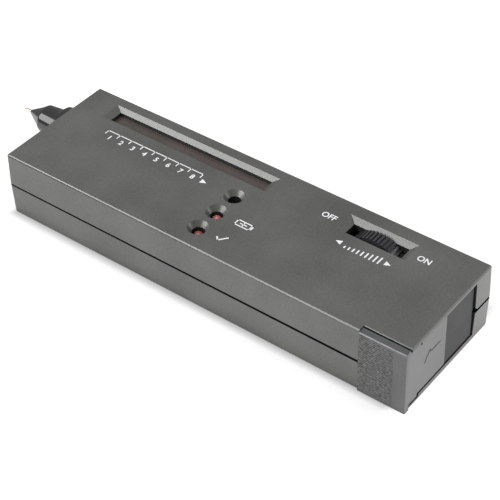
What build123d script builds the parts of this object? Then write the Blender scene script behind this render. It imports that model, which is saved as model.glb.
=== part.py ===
from build123d import *
import math
import os

os.makedirs("parts", exist_ok=True)

# Hand-held thermal tester for diamonds. Lengths are in millimetres. The origin is
# the middle of the case's underside, the probe points along -X, the battery lies
# at the +X end, the window and the thumbwheel lie towards +Y, and +Z is up.

# One overrun serves every cut that has to leave its solid cleanly
overrun = 1.0

# Nine-volt battery, which sets the height and the width of the case
battery_body_length = 46.4
battery_width = 26.0
battery_height = 17.2
battery_edge_radius = 1.6
terminal_height = 2.1
terminal_spread = 12.7
terminal_stud_radius = 2.85
terminal_ring_radius = 3.9
contact_gap = 0.15
contact_height = 2.5
snap_gap = 0.6
snap_thickness = 2.6
snap_length = 23.0
snap_height = 11.5
snap_corner_radius = 3.0

# Walls and fits of the two mouldings of the case
side_wall = 1.5
floor_thickness = 1.5
roof_thickness = 1.5
draft_run = 0.29
corner_radius = 1.0
edge_radius = 0.45
edge_chamfer = 0.35
inner_corner_radius = 0.8
groove_height = 0.8
groove_depth = 0.6
lip_width = 0.7
lip_height = 0.8
fit_gap = 0.1
seat_gap = 0.2
rib_thickness = 1.2

# Bays along the width, from the front long side to the back one
battery_side_gap = 0.16
battery_back_gap = 0.2
partition_thickness = 1.0
wheel_side_gap = 0.65
pot_gap = 0.4
pot_back_gap = 0.41

# Bays along the length, from the probe end to the battery end
window_margin = 10.5
window_length = 58.7
screw_bay_length = 7.5
foam_thickness = 1.9
foam_gap = 0.3
foam_margin = 2.0

# Heights inside the case
battery_headroom = 0.5
seam_height = 10.6

# Window: a bevelled recess, a short dark wall, then the smoked lens
window_width = 6.7
window_setback = 7.15
window_bevel_depth = 1.2
window_bevel_side = 1.2
window_bevel_end = 2.0
window_wall_depth = 1.2
lens_thickness = 1.5
lens_overlap = 1.0
tub_wall = 1.2

# Indicator holes and what stands under them
hole_top_radius = 3.0
hole_bottom_radius = 1.8
hole_setback = 5.7
hole_offset = 6.45
hole_pitch = 7.83
tube_wall = 0.9
tube_length = 2.7
lamp_radius = 1.5
lamp_body_height = 4.5
lamp_flange_radius = 1.7
lamp_flange_height = 0.8
lamp_drop = 1.7
leg_width = 0.45
leg_spread = 2.2
spacer_radius = 2.5
spacer_bore_radius = 1.55
buzzer_radius = 4.75
buzzer_height = 9.0
buzzer_hole_radius = 1.0
buzzer_edge = 0.4

# Row of rectangular lamps behind the window, and their holder
bar_lamp_count = 12
bar_lamp_pitch = 4.27
bar_row_inset = 8.1
bar_lamp_length = 2.4
bar_lamp_width = 5.0
bar_lamp_height = 6.0
holder_wall = 0.7
holder_height = 6.5
holder_lens_gap = 0.3

# Thumbwheel, its recess and its potentiometer
wheel_radius = 9.0
wheel_width = 3.8
wheel_rise = 0.0
wheel_setback = 20.65
wheel_rib_count = 48
wheel_rib_depth = 0.5
wheel_rib_width = 0.65
wheel_face_recess = 0.8
wheel_rim = 2.0
recess_length = 21.4
recess_width = 7.0
recess_bevel_depth = 1.45
recess_bevel_side = 1.4
recess_bevel_end = 2.03
recess_tub_depth = 1.9
shaft_radius = 1.5
shaft_gap = 0.05
hub_radius = 3.2
pot_radius = 4.8
pot_depth = 3.8
pot_foot_width = 7.0
pot_shaft_depth = 2.6
wheel_screw_radius = 1.9
wheel_screw_height = 0.7
wheel_screw_shank_radius = 0.75
wheel_screw_shank_length = 3.0

# Battery door
door_gap = 0.15
door_panel_length = 14.4
door_proud = 0.15
door_front_thickness = 1.8
door_shoulder_depth = 2.4
door_shoulder_gap = 0.6
door_base_gap = 0.1
door_shoulder_drop = 0.1
door_shoulder_fall = 0.25
door_edge_radius = 0.4
door_plate_thickness = 1.05
door_tongue_thickness = 1.0
door_setback = 0.05
door_step_depth = 6.4
door_plate_width = 18.0
opening_margin = 7.85
tongue_overlap = 1.4
tongue_clearance = 0.2
upper_strip = 0.9
lower_strip = 1.9
corner_strip = 1.0
plate_gap = 1.1
panel_base_gap = 0.5
panel_gap = 0.75
panel_drop = 0.4
notch_size = 0.55
opening_corner = 1.0
grip_length = 10.2
grip_top_margin = 1.1
grip_bottom_margin = 1.2
grip_depth = 0.25
grip_rib_count = 30
grip_rib_crest = 0.25

# Probe, measured outwards from the end face of the case
probe_setback = 11.35
collar_radius = 6.5
collar_length = 5.3
collar_edge = 0.5
nose_base_radius = 5.05
nose_shoulder_radius = 4.45
nose_body_length = 6.7
nose_cone_length = 6.5
nose_end_radius = 0.8
nose_end_round = 0.3
barrel_radius = 4.0
barrel_inner_length = 11.0
barrel_outer_length = 9.0
barrel_bore_radius = 2.6
barrel_end_wall = 1.2
barrel_lead_radius = 1.3
flange_radius = 6.0
flange_thickness = 1.5
carrier_radius = 2.55
carrier_length = 9.0
carrier_front = 12.0
heater_radius = 1.45
heater_length = 4.5
tip_flange_radius = 1.5
tip_flange_thickness = 0.9
needle_radius = 0.45
needle_bore_radius = 0.55
needle_reach = 2.7
needle_taper = 0.9
needle_end_radius = 0.12
nose_cavity_radius = 2.9
spring_radius = 1.9
spring_wire_radius = 0.25
spring_turns = 5
spring_wire_sides = 6

# Circuit board and what stands on it
standoff_height = 2.5
standoff_radius = 2.2
board_thickness = 1.6
board_edge_gap = 1.2
board_arm_width = 3.9
board_arm_overhang = 8.5
board_hole_radius = 1.1
chip_length = 19.3
chip_width = 6.4
chip_height = 3.3
chip_standoff = 0.5
chip_legs = 7
chip_leg_pitch = 2.54
chip_leg_width = 0.5
chip_leg_thickness = 0.3
capacitor_radius = 2.5
capacitor_height = 7.0
capacitor_edge = 0.3
resistor_radius = 1.15
resistor_length = 6.3
resistor_neck = 0.2
resistor_height = 1.5
trimmer_size = 6.6
trimmer_height = 4.8
trimmer_dial_radius = 2.2
trimmer_slot_width = 0.6
transistor_radius = 2.3
transistor_height = 4.6
transistor_standoff = 2.0

# Screws
case_boss_radius = 3.2
case_post_radius = 2.9
case_screw_head_radius = 2.3
case_screw_head_height = 1.6
case_screw_head_depth = 1.4
case_screw_radius = 1.25
case_screw_length = 10.5
case_screw_hole_gap = 0.15
thread_gap = 0.05
screw_cross_width = 0.6
screw_cross_length = 2.8
screw_cross_depth = 0.7
board_screw_head_radius = 1.9
board_screw_head_height = 1.2
board_screw_radius = 0.95
board_screw_length = 3.6

# Leads
arc_share = 0.45
lead_sides = 8
lead_radius = 0.65
lead_spread = 2.2
lead_first_run = 3.0
lead_second_run = 5.1
lead_third_run = 2.8
lead_fall = 2.2
probe_lead_radius = 0.45
probe_lead_run = 2.6
probe_lead_reach = 2.2
probe_lead_shift = 2.4
probe_lead_fall = 1.6

# Derived size of the case
inner_width = (
    battery_side_gap + battery_width + battery_back_gap + partition_thickness
    + wheel_side_gap + wheel_width + pot_gap + pot_depth + pot_back_gap
)
snap_space = snap_gap + terminal_height
door_end_depth = door_setback + door_plate_thickness + door_tongue_thickness
case_length = (
    window_margin + window_length + screw_bay_length + rib_thickness + fit_gap
    + snap_thickness + snap_space + battery_body_length + foam_gap + foam_thickness
    + door_end_depth
)
case_width = inner_width + 2 * (side_wall + draft_run)
case_height = floor_thickness + battery_height + battery_headroom + roof_thickness
roof_z = case_height - roof_thickness
probe_end = -case_length / 2
battery_end = case_length / 2
front = -case_width / 2
back = case_width / 2
inner_front = -inner_width / 2
inner_back = inner_width / 2
inner_probe_end = probe_end + side_wall + draft_run
inner_battery_end = battery_end - side_wall - draft_run

# Derived places along the length
window_x = probe_end + window_margin + window_length / 2
window_right = probe_end + window_margin + window_length
hole_x = window_right - hole_setback
bulkhead_x = window_right + screw_bay_length
snap_x = bulkhead_x + rib_thickness + fit_gap
battery_x = snap_x + snap_thickness + snap_space
foam_x = battery_x + battery_body_length + foam_gap
tongue_x = foam_x + foam_thickness
plate_x = tongue_x + door_tongue_thickness
wheel_x = battery_x + wheel_setback
door_x = battery_end - door_panel_length

# Derived places along the width
battery_y = inner_front + battery_side_gap + battery_width / 2
partition_y = inner_front + battery_side_gap + battery_width + battery_back_gap
wheel_front_y = partition_y + partition_thickness + wheel_side_gap
wheel_y = wheel_front_y + wheel_width / 2
pot_front_y = wheel_front_y + wheel_width + pot_gap
window_y = back - window_setback
hole_y = window_y - window_width / 2 - hole_offset
probe_y = back - probe_setback
plate_step_y = front + door_step_depth
plate_end_y = front + door_plate_width
opening_end_y = back - opening_margin
shoulder_y = front + door_shoulder_depth
door_front = front - door_proud
door_back_y = door_front + door_front_thickness
door_edge_y = shoulder_y - door_shoulder_gap
panel_end_y = opening_end_y - panel_gap

# Derived heights
battery_z = floor_thickness + battery_height / 2
board_z = floor_thickness + standoff_height
board_top = board_z + board_thickness
lens_top = case_height - window_bevel_depth - window_wall_depth
lens_z = lens_top - lens_thickness
wheel_z = case_height + wheel_rise - wheel_radius
lamp_top = case_height - lamp_drop
lamp_base = lamp_top - lamp_body_height
tube_base = roof_z - tube_length
recess_tub_z = roof_z - recess_tub_depth
opening_cut = battery_end - tongue_x + tongue_clearance + overrun

# Places of the case screws: the probe end, the two corners of the screw bay, and
# the corner behind the potentiometer
screw_bay_x = window_right + case_boss_radius + 2 * fit_gap + tub_wall
screw_inset = case_boss_radius + tub_wall
case_screw_places = [
    (inner_probe_end + 2 * case_boss_radius, inner_front + screw_inset),
    (screw_bay_x, inner_front + screw_inset),
    (screw_bay_x, partition_y - case_boss_radius + fit_gap),
    (door_x + screw_inset + fit_gap, inner_back - screw_inset + fit_gap),
]

# Outline of the board, left to right
board_left = inner_probe_end + barrel_inner_length
board_right = window_right + fit_gap
board_front = inner_front + board_edge_gap
board_back = inner_back - board_edge_gap
board_arm_end = wheel_x + board_arm_overhang
board_length = board_right - board_left
board_depth = board_back - board_front
standoff_places = [
    (board_left + 2 * standoff_radius, board_front + 2 * standoff_radius),
    (board_left + 2 * standoff_radius, hole_y),
    (hole_x - 3 * standoff_radius, board_front + 2 * standoff_radius),
    (hole_x - 4 * standoff_radius, hole_y),
]
arm_post_place = (board_arm_end - standoff_radius, pot_front_y + board_arm_width / 2)


def block(x_span, y_span, z_span, mode=Mode.ADD):
    """A box given by its two ends along each axis."""
    middles = [(span[0] + span[1]) / 2 for span in (x_span, y_span, z_span)]
    sizes = [span[1] - span[0] for span in (x_span, y_span, z_span)]
    with Locations(tuple(middles)):
        Box(*sizes, mode=mode)


def shell_form(height):
    """Outer form from the seam up or down by a height, drawn in by the draft."""
    with BuildSketch(Plane.XY.offset(seam_height)) as outline:
        RectangleRounded(case_length, case_width, corner_radius)
    draft = math.degrees(math.atan(draft_run / abs(height)))
    extrude(outline.sketch, amount=height, taper=draft)


def inner_outline(z, growth):
    """Plan outline of the cavity at a height, grown outwards by the growth."""
    with BuildSketch(Plane.XY.offset(z)) as outline:
        RectangleRounded(
            inner_battery_end - inner_probe_end + 2 * growth,
            inner_width + 2 * growth,
            inner_corner_radius,
        )
    return outline.sketch


def frustum(x, y, top_z, top_size, bottom_size, depth, mode):
    """Bevelled recess with a rectangular mouth and a smaller rectangular floor."""
    with BuildSketch(Plane.XY.offset(top_z)) as mouth:
        with Locations((x, y)):
            Rectangle(*top_size)
    with BuildSketch(Plane.XY.offset(top_z - depth)) as floor:
        with Locations((x, y)):
            Rectangle(*bottom_size)
    loft(sections=[mouth.sketch, floor.sketch], mode=mode)


# The probe is drawn outwards from the end face, with its radius upwards
probe_plane = Plane(origin=(probe_end, probe_y, seam_height), x_dir=(-1, 0, 0), z_dir=(0, 1, 0))
probe_axis = Axis((probe_end, probe_y, seam_height), (-1, 0, 0))


def turned(points, mode=Mode.ADD):
    """Solid of revolution about the probe's axis from points (reach, radius)."""
    with BuildSketch(probe_plane) as profile:
        with BuildLine():
            Polyline(*points, close=True)
        make_face()
    revolve(profile.sketch, axis=probe_axis, mode=mode)


def wire(points, radius):
    """Lead along straight runs joined by tangent arcs as wide as the runs allow."""
    corners = [Vector(point) for point in points]
    runs = [after - before for before, after in zip(corners, corners[1:])]
    radii = []
    for before, after in zip(runs, runs[1:]):
        turn = math.radians(before.get_angle(after))
        radii.append(arc_share * min(before.length, after.length) / math.tan(turn / 2))
    with BuildLine() as route:
        FilletPolyline(*points, radius=radii)
    with BuildSketch(Plane(origin=points[0], z_dir=runs[0])) as section:
        RegularPolygon(radius, lead_sides)
    sweep(section.sketch, path=route.line)
    return radii


# Bottom shell: the outer form narrows towards the underside
with BuildPart() as bottom_shell:
    shell_form(-seam_height)
    fillet(bottom_shell.faces().sort_by(Axis.Z)[0].edges(), edge_radius)

    # Cavity, and the seam's dark groove cut round the rim
    extrude(inner_outline(floor_thickness, 0), amount=case_height, mode=Mode.SUBTRACT)
    with BuildSketch(Plane.XY.offset(seam_height - groove_height)):
        Rectangle(case_length + 2 * overrun, case_width + 2 * overrun)
        RectangleRounded(
            case_length - 2 * groove_depth,
            case_width - 2 * groove_depth,
            corner_radius,
            mode=Mode.SUBTRACT,
        )
    extrude(amount=groove_height + overrun, mode=Mode.SUBTRACT)

    # Lip that stands up inside the top shell
    with BuildSketch(Plane.XY.offset(seam_height)):
        RectangleRounded(
            inner_battery_end - inner_probe_end + 2 * lip_width,
            inner_width + 2 * lip_width,
            inner_corner_radius,
        )
        RectangleRounded(
            inner_battery_end - inner_probe_end,
            inner_width,
            inner_corner_radius,
            mode=Mode.SUBTRACT,
        )
    extrude(amount=lip_height)

    # Bulkhead and partition that box in the battery
    block(
        (bulkhead_x, bulkhead_x + rib_thickness),
        (inner_front, partition_y + partition_thickness),
        (floor_thickness, recess_tub_z - seat_gap),
    )
    block(
        (bulkhead_x, battery_x + battery_body_length),
        (partition_y, partition_y + partition_thickness),
        (floor_thickness, recess_tub_z - seat_gap),
    )
    # Notch that lets the battery leads through the bulkhead
    block(
        (bulkhead_x - overrun, bulkhead_x + rib_thickness + overrun),
        (battery_y - snap_corner_radius, battery_y + snap_corner_radius),
        (seam_height, roof_z),
        Mode.SUBTRACT,
    )

    # Saddle rib under the probe barrel
    block(
        (probe_end + barrel_inner_length / 2, probe_end + barrel_inner_length / 2 + rib_thickness),
        (probe_y - barrel_radius - rib_thickness, probe_y + barrel_radius + rib_thickness),
        (floor_thickness, seam_height),
    )

    # Screw bosses and board standoffs
    with BuildSketch(Plane.XY.offset(floor_thickness)):
        with Locations(*case_screw_places):
            Circle(case_boss_radius)
    extrude(amount=seam_height - floor_thickness)
    with BuildSketch(Plane.XY.offset(floor_thickness)):
        with Locations(*standoff_places, arm_post_place):
            Circle(standoff_radius)
    extrude(amount=standoff_height)
    with BuildSketch(Plane.XY.offset(board_z)):
        with Locations(*standoff_places):
            Circle(board_screw_radius + thread_gap)
    extrude(amount=board_thickness - board_screw_length, mode=Mode.SUBTRACT)

    # Counterbored screw holes from the underside
    with BuildSketch(Plane.XY.offset(-overrun)):
        with Locations(*case_screw_places):
            Circle(case_screw_head_radius + 2 * case_screw_hole_gap)
    extrude(
        amount=overrun + case_screw_head_depth + case_screw_head_height,
        mode=Mode.SUBTRACT,
    )
    with BuildSketch(Plane.XY):
        with Locations(*case_screw_places):
            Circle(case_screw_radius + case_screw_hole_gap)
    extrude(amount=seam_height + overrun, mode=Mode.SUBTRACT)

    # Seat of the probe in the end wall and in the saddle
    turned(
        [
            (-barrel_inner_length, 0),
            (-barrel_inner_length, barrel_radius + thread_gap),
            (overrun, barrel_radius + thread_gap),
            (overrun, 0),
        ],
        Mode.SUBTRACT,
    )

    # Mouth of the battery bay: front panel, corner, end opening and tongue pocket
    block(
        (door_x, battery_end + overrun),
        (front - overrun, door_back_y + door_gap),
        (-overrun, case_height),
        Mode.SUBTRACT,
    )
    block(
        (tongue_x - tongue_clearance, battery_end + overrun),
        (front - overrun, plate_step_y),
        (corner_strip, case_height),
        Mode.SUBTRACT,
    )
    with BuildSketch(Plane.YZ.offset(tongue_x - tongue_clearance)):
        with BuildLine():
            Polyline(
                (plate_step_y - overrun, lower_strip),
                (opening_end_y, lower_strip),
                (opening_end_y, seam_height - opening_corner),
                (opening_end_y + opening_corner, seam_height),
                (opening_end_y + opening_corner, case_height),
                (plate_step_y - overrun, case_height),
                close=True,
            )
        make_face()
    extrude(amount=opening_cut, mode=Mode.SUBTRACT)
    block(
        (tongue_x - tongue_clearance, plate_x + door_gap),
        (front - overrun, opening_end_y + tongue_overlap + tongue_clearance),
        (floor_thickness, case_height),
        Mode.SUBTRACT,
    )
    # Way for the foam pad past the cavity's rounded corner
    block(
        (foam_x, tongue_x),
        (front - overrun, inner_front + inner_corner_radius),
        (floor_thickness, case_height),
        Mode.SUBTRACT,
    )

# Top shell: the outer form narrows towards the top face
with BuildPart() as top_shell:
    shell_form(case_height - seam_height)
    chamfer(top_shell.faces().sort_by(Axis.Z)[-1].edges(), edge_chamfer)

    # Cavity, widened at the rim to go over the bottom shell's lip
    extrude(inner_outline(0, 0), amount=roof_z, mode=Mode.SUBTRACT)
    extrude(
        inner_outline(0, lip_width + fit_gap),
        amount=seam_height + lip_height + fit_gap,
        mode=Mode.SUBTRACT,
    )

    # Tubs that hang from the roof round the window and the thumbwheel
    block(
        (
            window_x - window_length / 2 - tub_wall,
            window_x + window_length / 2 + tub_wall,
        ),
        (
            window_y - window_width / 2 - tub_wall,
            window_y + window_width / 2 + tub_wall,
        ),
        (lens_z, roof_z),
    )
    block(
        (wheel_x - recess_length / 2, wheel_x + recess_length / 2),
        (partition_y + fit_gap, wheel_y + recess_width / 2),
        (recess_tub_z, roof_z),
    )

    # Tubes under the three round holes, and the screw posts
    with BuildSketch(Plane.XY.offset(tube_base)):
        with Locations(*[(hole_x, hole_y - k * hole_pitch) for k in range(3)]):
            Circle(hole_bottom_radius + tube_wall)
    extrude(amount=tube_length)
    with BuildSketch(Plane.XY.offset(seam_height)):
        with Locations(*case_screw_places):
            Circle(case_post_radius)
    extrude(amount=roof_z - seam_height)
    with BuildSketch(Plane.XY.offset(seam_height)):
        with Locations(*case_screw_places):
            Circle(case_screw_radius + thread_gap)
    extrude(amount=case_screw_length / 2, mode=Mode.SUBTRACT)

    # Saddle rib over the probe barrel
    block(
        (probe_end + barrel_inner_length / 2, probe_end + barrel_inner_length / 2 + rib_thickness),
        (probe_y - barrel_radius - rib_thickness, probe_y + barrel_radius + rib_thickness),
        (seam_height, roof_z),
    )
    turned(
        [
            (-barrel_inner_length, 0),
            (-barrel_inner_length, barrel_radius + thread_gap),
            (overrun, barrel_radius + thread_gap),
            (overrun, 0),
        ],
        Mode.SUBTRACT,
    )

    # Window: bevelled mouth, straight wall and the pocket for the lens
    frustum(
        window_x,
        window_y,
        case_height,
        (window_length, window_width),
        (
            window_length - 2 * window_bevel_end,
            window_width - 2 * window_bevel_side,
        ),
        window_bevel_depth,
        Mode.SUBTRACT,
    )
    with BuildSketch(Plane.XY.offset(lens_z - overrun)):
        with Locations((window_x, window_y)):
            Rectangle(
                window_length - 2 * window_bevel_end,
                window_width - 2 * window_bevel_side,
            )
    extrude(amount=case_height - lens_z, mode=Mode.SUBTRACT)
    with BuildSketch(Plane.XY.offset(lens_z - overrun)):
        with Locations((window_x, window_y)):
            Rectangle(
                window_length - 2 * window_bevel_end + 2 * lens_overlap + 2 * fit_gap,
                window_width - 2 * window_bevel_side + 2 * lens_overlap + 2 * fit_gap,
            )
    extrude(amount=lens_thickness + overrun, mode=Mode.SUBTRACT)

    # Conical holes for the sounder and the two indicator lamps
    for k in range(3):
        with BuildSketch(Plane.XY.offset(case_height)):
            with Locations((hole_x, hole_y - k * hole_pitch)):
                Circle(hole_top_radius)
        with BuildSketch(Plane.XY.offset(roof_z)):
            with Locations((hole_x, hole_y - k * hole_pitch)):
                Circle(hole_bottom_radius)
        loft(mode=Mode.SUBTRACT)
    with BuildSketch(Plane.XY.offset(tube_base - overrun)):
        with Locations(*[(hole_x, hole_y - k * hole_pitch) for k in range(3)]):
            Circle(hole_bottom_radius)
    extrude(amount=tube_length + 2 * overrun, mode=Mode.SUBTRACT)

    # Thumbwheel: bevelled recess and the slot that the wheel stands through
    frustum(
        wheel_x,
        wheel_y,
        case_height,
        (recess_length, recess_width),
        (
            recess_length - 2 * recess_bevel_end,
            recess_width - 2 * recess_bevel_side,
        ),
        recess_bevel_depth,
        Mode.SUBTRACT,
    )
    with BuildSketch(Plane.XY.offset(seam_height + lip_height)):
        with Locations((wheel_x, wheel_y)):
            Rectangle(
                recess_length - 2 * recess_bevel_end,
                recess_width - 2 * recess_bevel_side,
            )
    extrude(amount=case_height - seam_height, mode=Mode.SUBTRACT)

    # Mouth of the battery bay: front panel and shoulder, corner, end opening, pocket
    block(
        (door_x, battery_end + overrun),
        (front - overrun, shoulder_y),
        (0, case_height + overrun),
        Mode.SUBTRACT,
    )
    top_edges = top_shell.edges().filter_by(Axis.X).group_by(Axis.Z)[-1]
    chamfer(top_edges.sort_by(Axis.Y)[1], edge_chamfer / 2)
    with BuildSketch(Plane.YZ.offset(tongue_x - tongue_clearance)):
        with BuildLine():
            Polyline(
                (front - overrun, 0),
                (opening_end_y + opening_corner, 0),
                (opening_end_y + opening_corner, seam_height),
                (opening_end_y, seam_height + opening_corner),
                (opening_end_y, case_height - upper_strip),
                (front - overrun, case_height - upper_strip),
                close=True,
            )
        make_face()
    extrude(amount=opening_cut, mode=Mode.SUBTRACT)
    block(
        (tongue_x - tongue_clearance, plate_x + door_gap),
        (front - overrun, opening_end_y + tongue_overlap + tongue_clearance),
        (0, roof_z),
        Mode.SUBTRACT,
    )

# Smoked lens, glued into the pocket under the window
with BuildPart() as window_lens:
    with BuildSketch(Plane.XY.offset(lens_z)):
        with Locations((window_x, window_y)):
            Rectangle(
                window_length - 2 * window_bevel_end + 2 * lens_overlap,
                window_width - 2 * window_bevel_side + 2 * lens_overlap,
            )
    extrude(amount=lens_thickness)
    chamfer(window_lens.edges().filter_by(Axis.Z), fit_gap)

# Battery door: inner tongue layer, outer plate, front panel with its shoulder
door_top = case_height - door_shoulder_drop
plate_top = case_height - upper_strip - door_gap
with BuildPart() as battery_door:
    with BuildSketch(Plane.YZ.offset(door_x + door_gap)):
        with BuildLine():
            Polyline(
                (door_front, door_base_gap),
                (door_back_y, door_base_gap),
                (door_back_y, roof_z),
                (door_edge_y, roof_z),
                (door_edge_y, door_top),
                (door_front, door_top - door_shoulder_fall),
                close=True,
            )
        make_face()
    extrude(amount=door_panel_length - door_gap - door_setback)
    block(
        (tongue_x, plate_x),
        (door_front, opening_end_y + tongue_overlap),
        (floor_thickness + tongue_clearance, roof_z - tongue_clearance),
    )
    with BuildSketch(Plane.YZ.offset(plate_x)):
        with BuildLine():
            Polyline(
                (door_front, door_base_gap),
                (door_back_y, door_base_gap),
                (door_back_y, corner_strip + plate_gap),
                (plate_step_y - plate_gap, corner_strip + plate_gap),
                (plate_step_y - plate_gap, lower_strip + plate_gap),
                (plate_end_y, lower_strip + plate_gap),
                (plate_end_y, plate_top),
                (door_edge_y, plate_top),
                (door_edge_y, door_top),
                (door_front, door_top - door_shoulder_fall),
                close=True,
            )
        make_face()
    extrude(amount=door_plate_thickness)
    corner_edges = battery_door.edges().filter_by(Axis.Z).group_by(Axis.Y)[0]
    fillet(corner_edges.sort_by(Axis.X)[-1], door_edge_radius)
    top_edges = battery_door.edges().filter_by(Axis.X).group_by(Axis.Y)[0]
    fillet(top_edges.sort_by(Axis.Z)[-1], door_edge_radius)

    # Dark panel, a slit away from the plate and a step lower, and the notch above
    block(
        (plate_x, plate_x + door_plate_thickness - panel_drop),
        (plate_end_y + seat_gap, panel_end_y),
        (lower_strip + panel_base_gap, plate_top),
    )
    block(
        (plate_x, battery_end + overrun),
        (plate_step_y - notch_size / 2, plate_step_y + notch_size / 2),
        (plate_top - notch_size, case_height),
        Mode.SUBTRACT,
    )

    # Finely ribbed grip on the front, ribs along the length
    grip_bottom = grip_bottom_margin
    grip_top = case_height - grip_top_margin
    grip_pitch = (grip_top - grip_bottom) / grip_rib_count
    with BuildSketch(Plane.YZ.offset(door_x + door_gap)):
        for k in range(grip_rib_count):
            rib_z = grip_bottom + k * grip_pitch
            with BuildLine():
                Polyline(
                    (door_front - overrun, rib_z),
                    (door_front, rib_z),
                    (door_front + grip_depth, rib_z + (grip_pitch - grip_rib_crest) / 2),
                    (door_front, rib_z + grip_pitch - grip_rib_crest),
                    (door_front - overrun, rib_z + grip_pitch - grip_rib_crest),
                    close=True,
                )
            make_face()
    extrude(amount=grip_length, mode=Mode.SUBTRACT)

# Foam pad on the inside of the door, which steadies the battery
with BuildPart() as foam_pad:
    block(
        (foam_x, tongue_x),
        (
            battery_y - battery_width / 2 + 2 * foam_margin,
            battery_y + battery_width / 2 - foam_margin,
        ),
        (floor_thickness + foam_margin, floor_thickness + battery_height - foam_margin),
    )

# Battery, lying on the floor of its bay with its terminals towards the probe
with BuildPart() as battery:
    with BuildSketch(Plane.YZ.offset(battery_x)):
        with Locations((battery_y, battery_z)):
            RectangleRounded(battery_width, battery_height, battery_edge_radius)
    extrude(amount=battery_body_length)

terminal_places = [
    (battery_y - terminal_spread / 2, battery_z),
    (battery_y + terminal_spread / 2, battery_z),
]
with BuildPart() as battery_terminals:
    with BuildSketch(Plane.YZ.offset(battery_x)):
        with Locations(terminal_places[0]):
            Circle(terminal_stud_radius)
        with Locations(terminal_places[1]):
            RegularPolygon(terminal_ring_radius, 6)
            Circle(terminal_stud_radius + contact_gap, mode=Mode.SUBTRACT)
    extrude(amount=-terminal_height)

# Snap connector: a moulded plate with a ring for the stud and a stud for the ring
with BuildPart() as battery_snap:
    with BuildSketch(Plane.YZ.offset(snap_x)):
        with Locations((battery_y, battery_z)):
            RectangleRounded(snap_length, snap_height, snap_corner_radius)
    extrude(amount=snap_thickness)
with BuildPart() as snap_contacts:
    with BuildSketch(Plane.YZ.offset(snap_x + snap_thickness)):
        with Locations(terminal_places[0]):
            Circle(terminal_ring_radius)
            Circle(terminal_stud_radius + contact_gap, mode=Mode.SUBTRACT)
        with Locations(terminal_places[1]):
            Circle(terminal_stud_radius)
    extrude(amount=contact_height)

# Thumbwheel: a ribbed rim, recessed faces and a hub
with BuildPart() as thumbwheel:
    with BuildSketch(Plane.XZ.offset(-wheel_front_y)):
        with Locations((wheel_x, wheel_z)):
            Circle(wheel_radius - wheel_rib_depth)
            with PolarLocations(wheel_radius - wheel_rib_depth, wheel_rib_count):
                Rectangle(2 * wheel_rib_depth, wheel_rib_width)
    extrude(amount=-wheel_width)
    for face_y, way in ((wheel_front_y, -1), (wheel_front_y + wheel_width, 1)):
        with BuildSketch(Plane.XZ.offset(-face_y)):
            with Locations((wheel_x, wheel_z)):
                Circle(wheel_radius - wheel_rim)
                Circle(hub_radius, mode=Mode.SUBTRACT)
        extrude(amount=way * wheel_face_recess, mode=Mode.SUBTRACT)
    # Bore for the shaft, stopped by the web that the screw head clamps
    with BuildSketch(Plane.XZ.offset(-(wheel_front_y + wheel_width))):
        with Locations((wheel_x, wheel_z)):
            Circle(shaft_radius + thread_gap)
    extrude(amount=wheel_width - 2 * wheel_face_recess, mode=Mode.SUBTRACT)
    with BuildSketch(Plane.XZ.offset(-wheel_front_y)):
        with Locations((wheel_x, wheel_z)):
            Circle(wheel_screw_radius + fit_gap)
    extrude(amount=-wheel_screw_height, mode=Mode.SUBTRACT)
    with BuildSketch(Plane.XZ.offset(-wheel_front_y)):
        with Locations((wheel_x, wheel_z)):
            Circle(wheel_screw_shank_radius + thread_gap)
    extrude(amount=-wheel_width, mode=Mode.SUBTRACT)

# Shaft from the wheel's web into the potentiometer
shaft_front_y = wheel_front_y + 2 * wheel_face_recess
with BuildPart() as wheel_shaft:
    with BuildSketch(Plane.XZ.offset(-shaft_front_y)):
        with Locations((wheel_x, wheel_z)):
            Circle(shaft_radius)
    extrude(amount=shaft_front_y - pot_front_y - pot_shaft_depth)
    with BuildSketch(Plane.XZ.offset(-shaft_front_y)):
        with Locations((wheel_x, wheel_z)):
            Circle(wheel_screw_shank_radius + thread_gap)
    extrude(amount=-wheel_screw_shank_length, mode=Mode.SUBTRACT)

with BuildPart() as wheel_screw:
    with BuildSketch(Plane.XZ.offset(-wheel_front_y)):
        with Locations((wheel_x, wheel_z)):
            Circle(wheel_screw_radius)
    extrude(amount=-wheel_screw_height)
    with BuildSketch(Plane.XZ.offset(-wheel_front_y)):
        with Locations((wheel_x, wheel_z)):
            Circle(wheel_screw_shank_radius)
    extrude(amount=-wheel_screw_shank_length)
    with BuildSketch(Plane.XZ.offset(-wheel_front_y)):
        with Locations((wheel_x, wheel_z)):
            Rectangle(screw_cross_length, screw_cross_width)
    extrude(amount=-wheel_screw_height / 2, mode=Mode.SUBTRACT)

# Potentiometer: a round body on a foot that stands on the board's arm
with BuildPart() as wheel_pot:
    with BuildSketch(Plane.XZ.offset(-pot_front_y)):
        with Locations((wheel_x, wheel_z)):
            Circle(pot_radius)
    extrude(amount=-pot_depth)
    block(
        (wheel_x - pot_foot_width / 2, wheel_x + pot_foot_width / 2),
        (pot_front_y, pot_front_y + pot_depth),
        (board_top, wheel_z - pot_radius / 2),
    )
    with BuildSketch(Plane.XZ.offset(-pot_front_y)):
        with Locations((wheel_x, wheel_z)):
            Circle(shaft_radius + shaft_gap)
    extrude(amount=-(pot_shaft_depth + seat_gap), mode=Mode.SUBTRACT)

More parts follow.
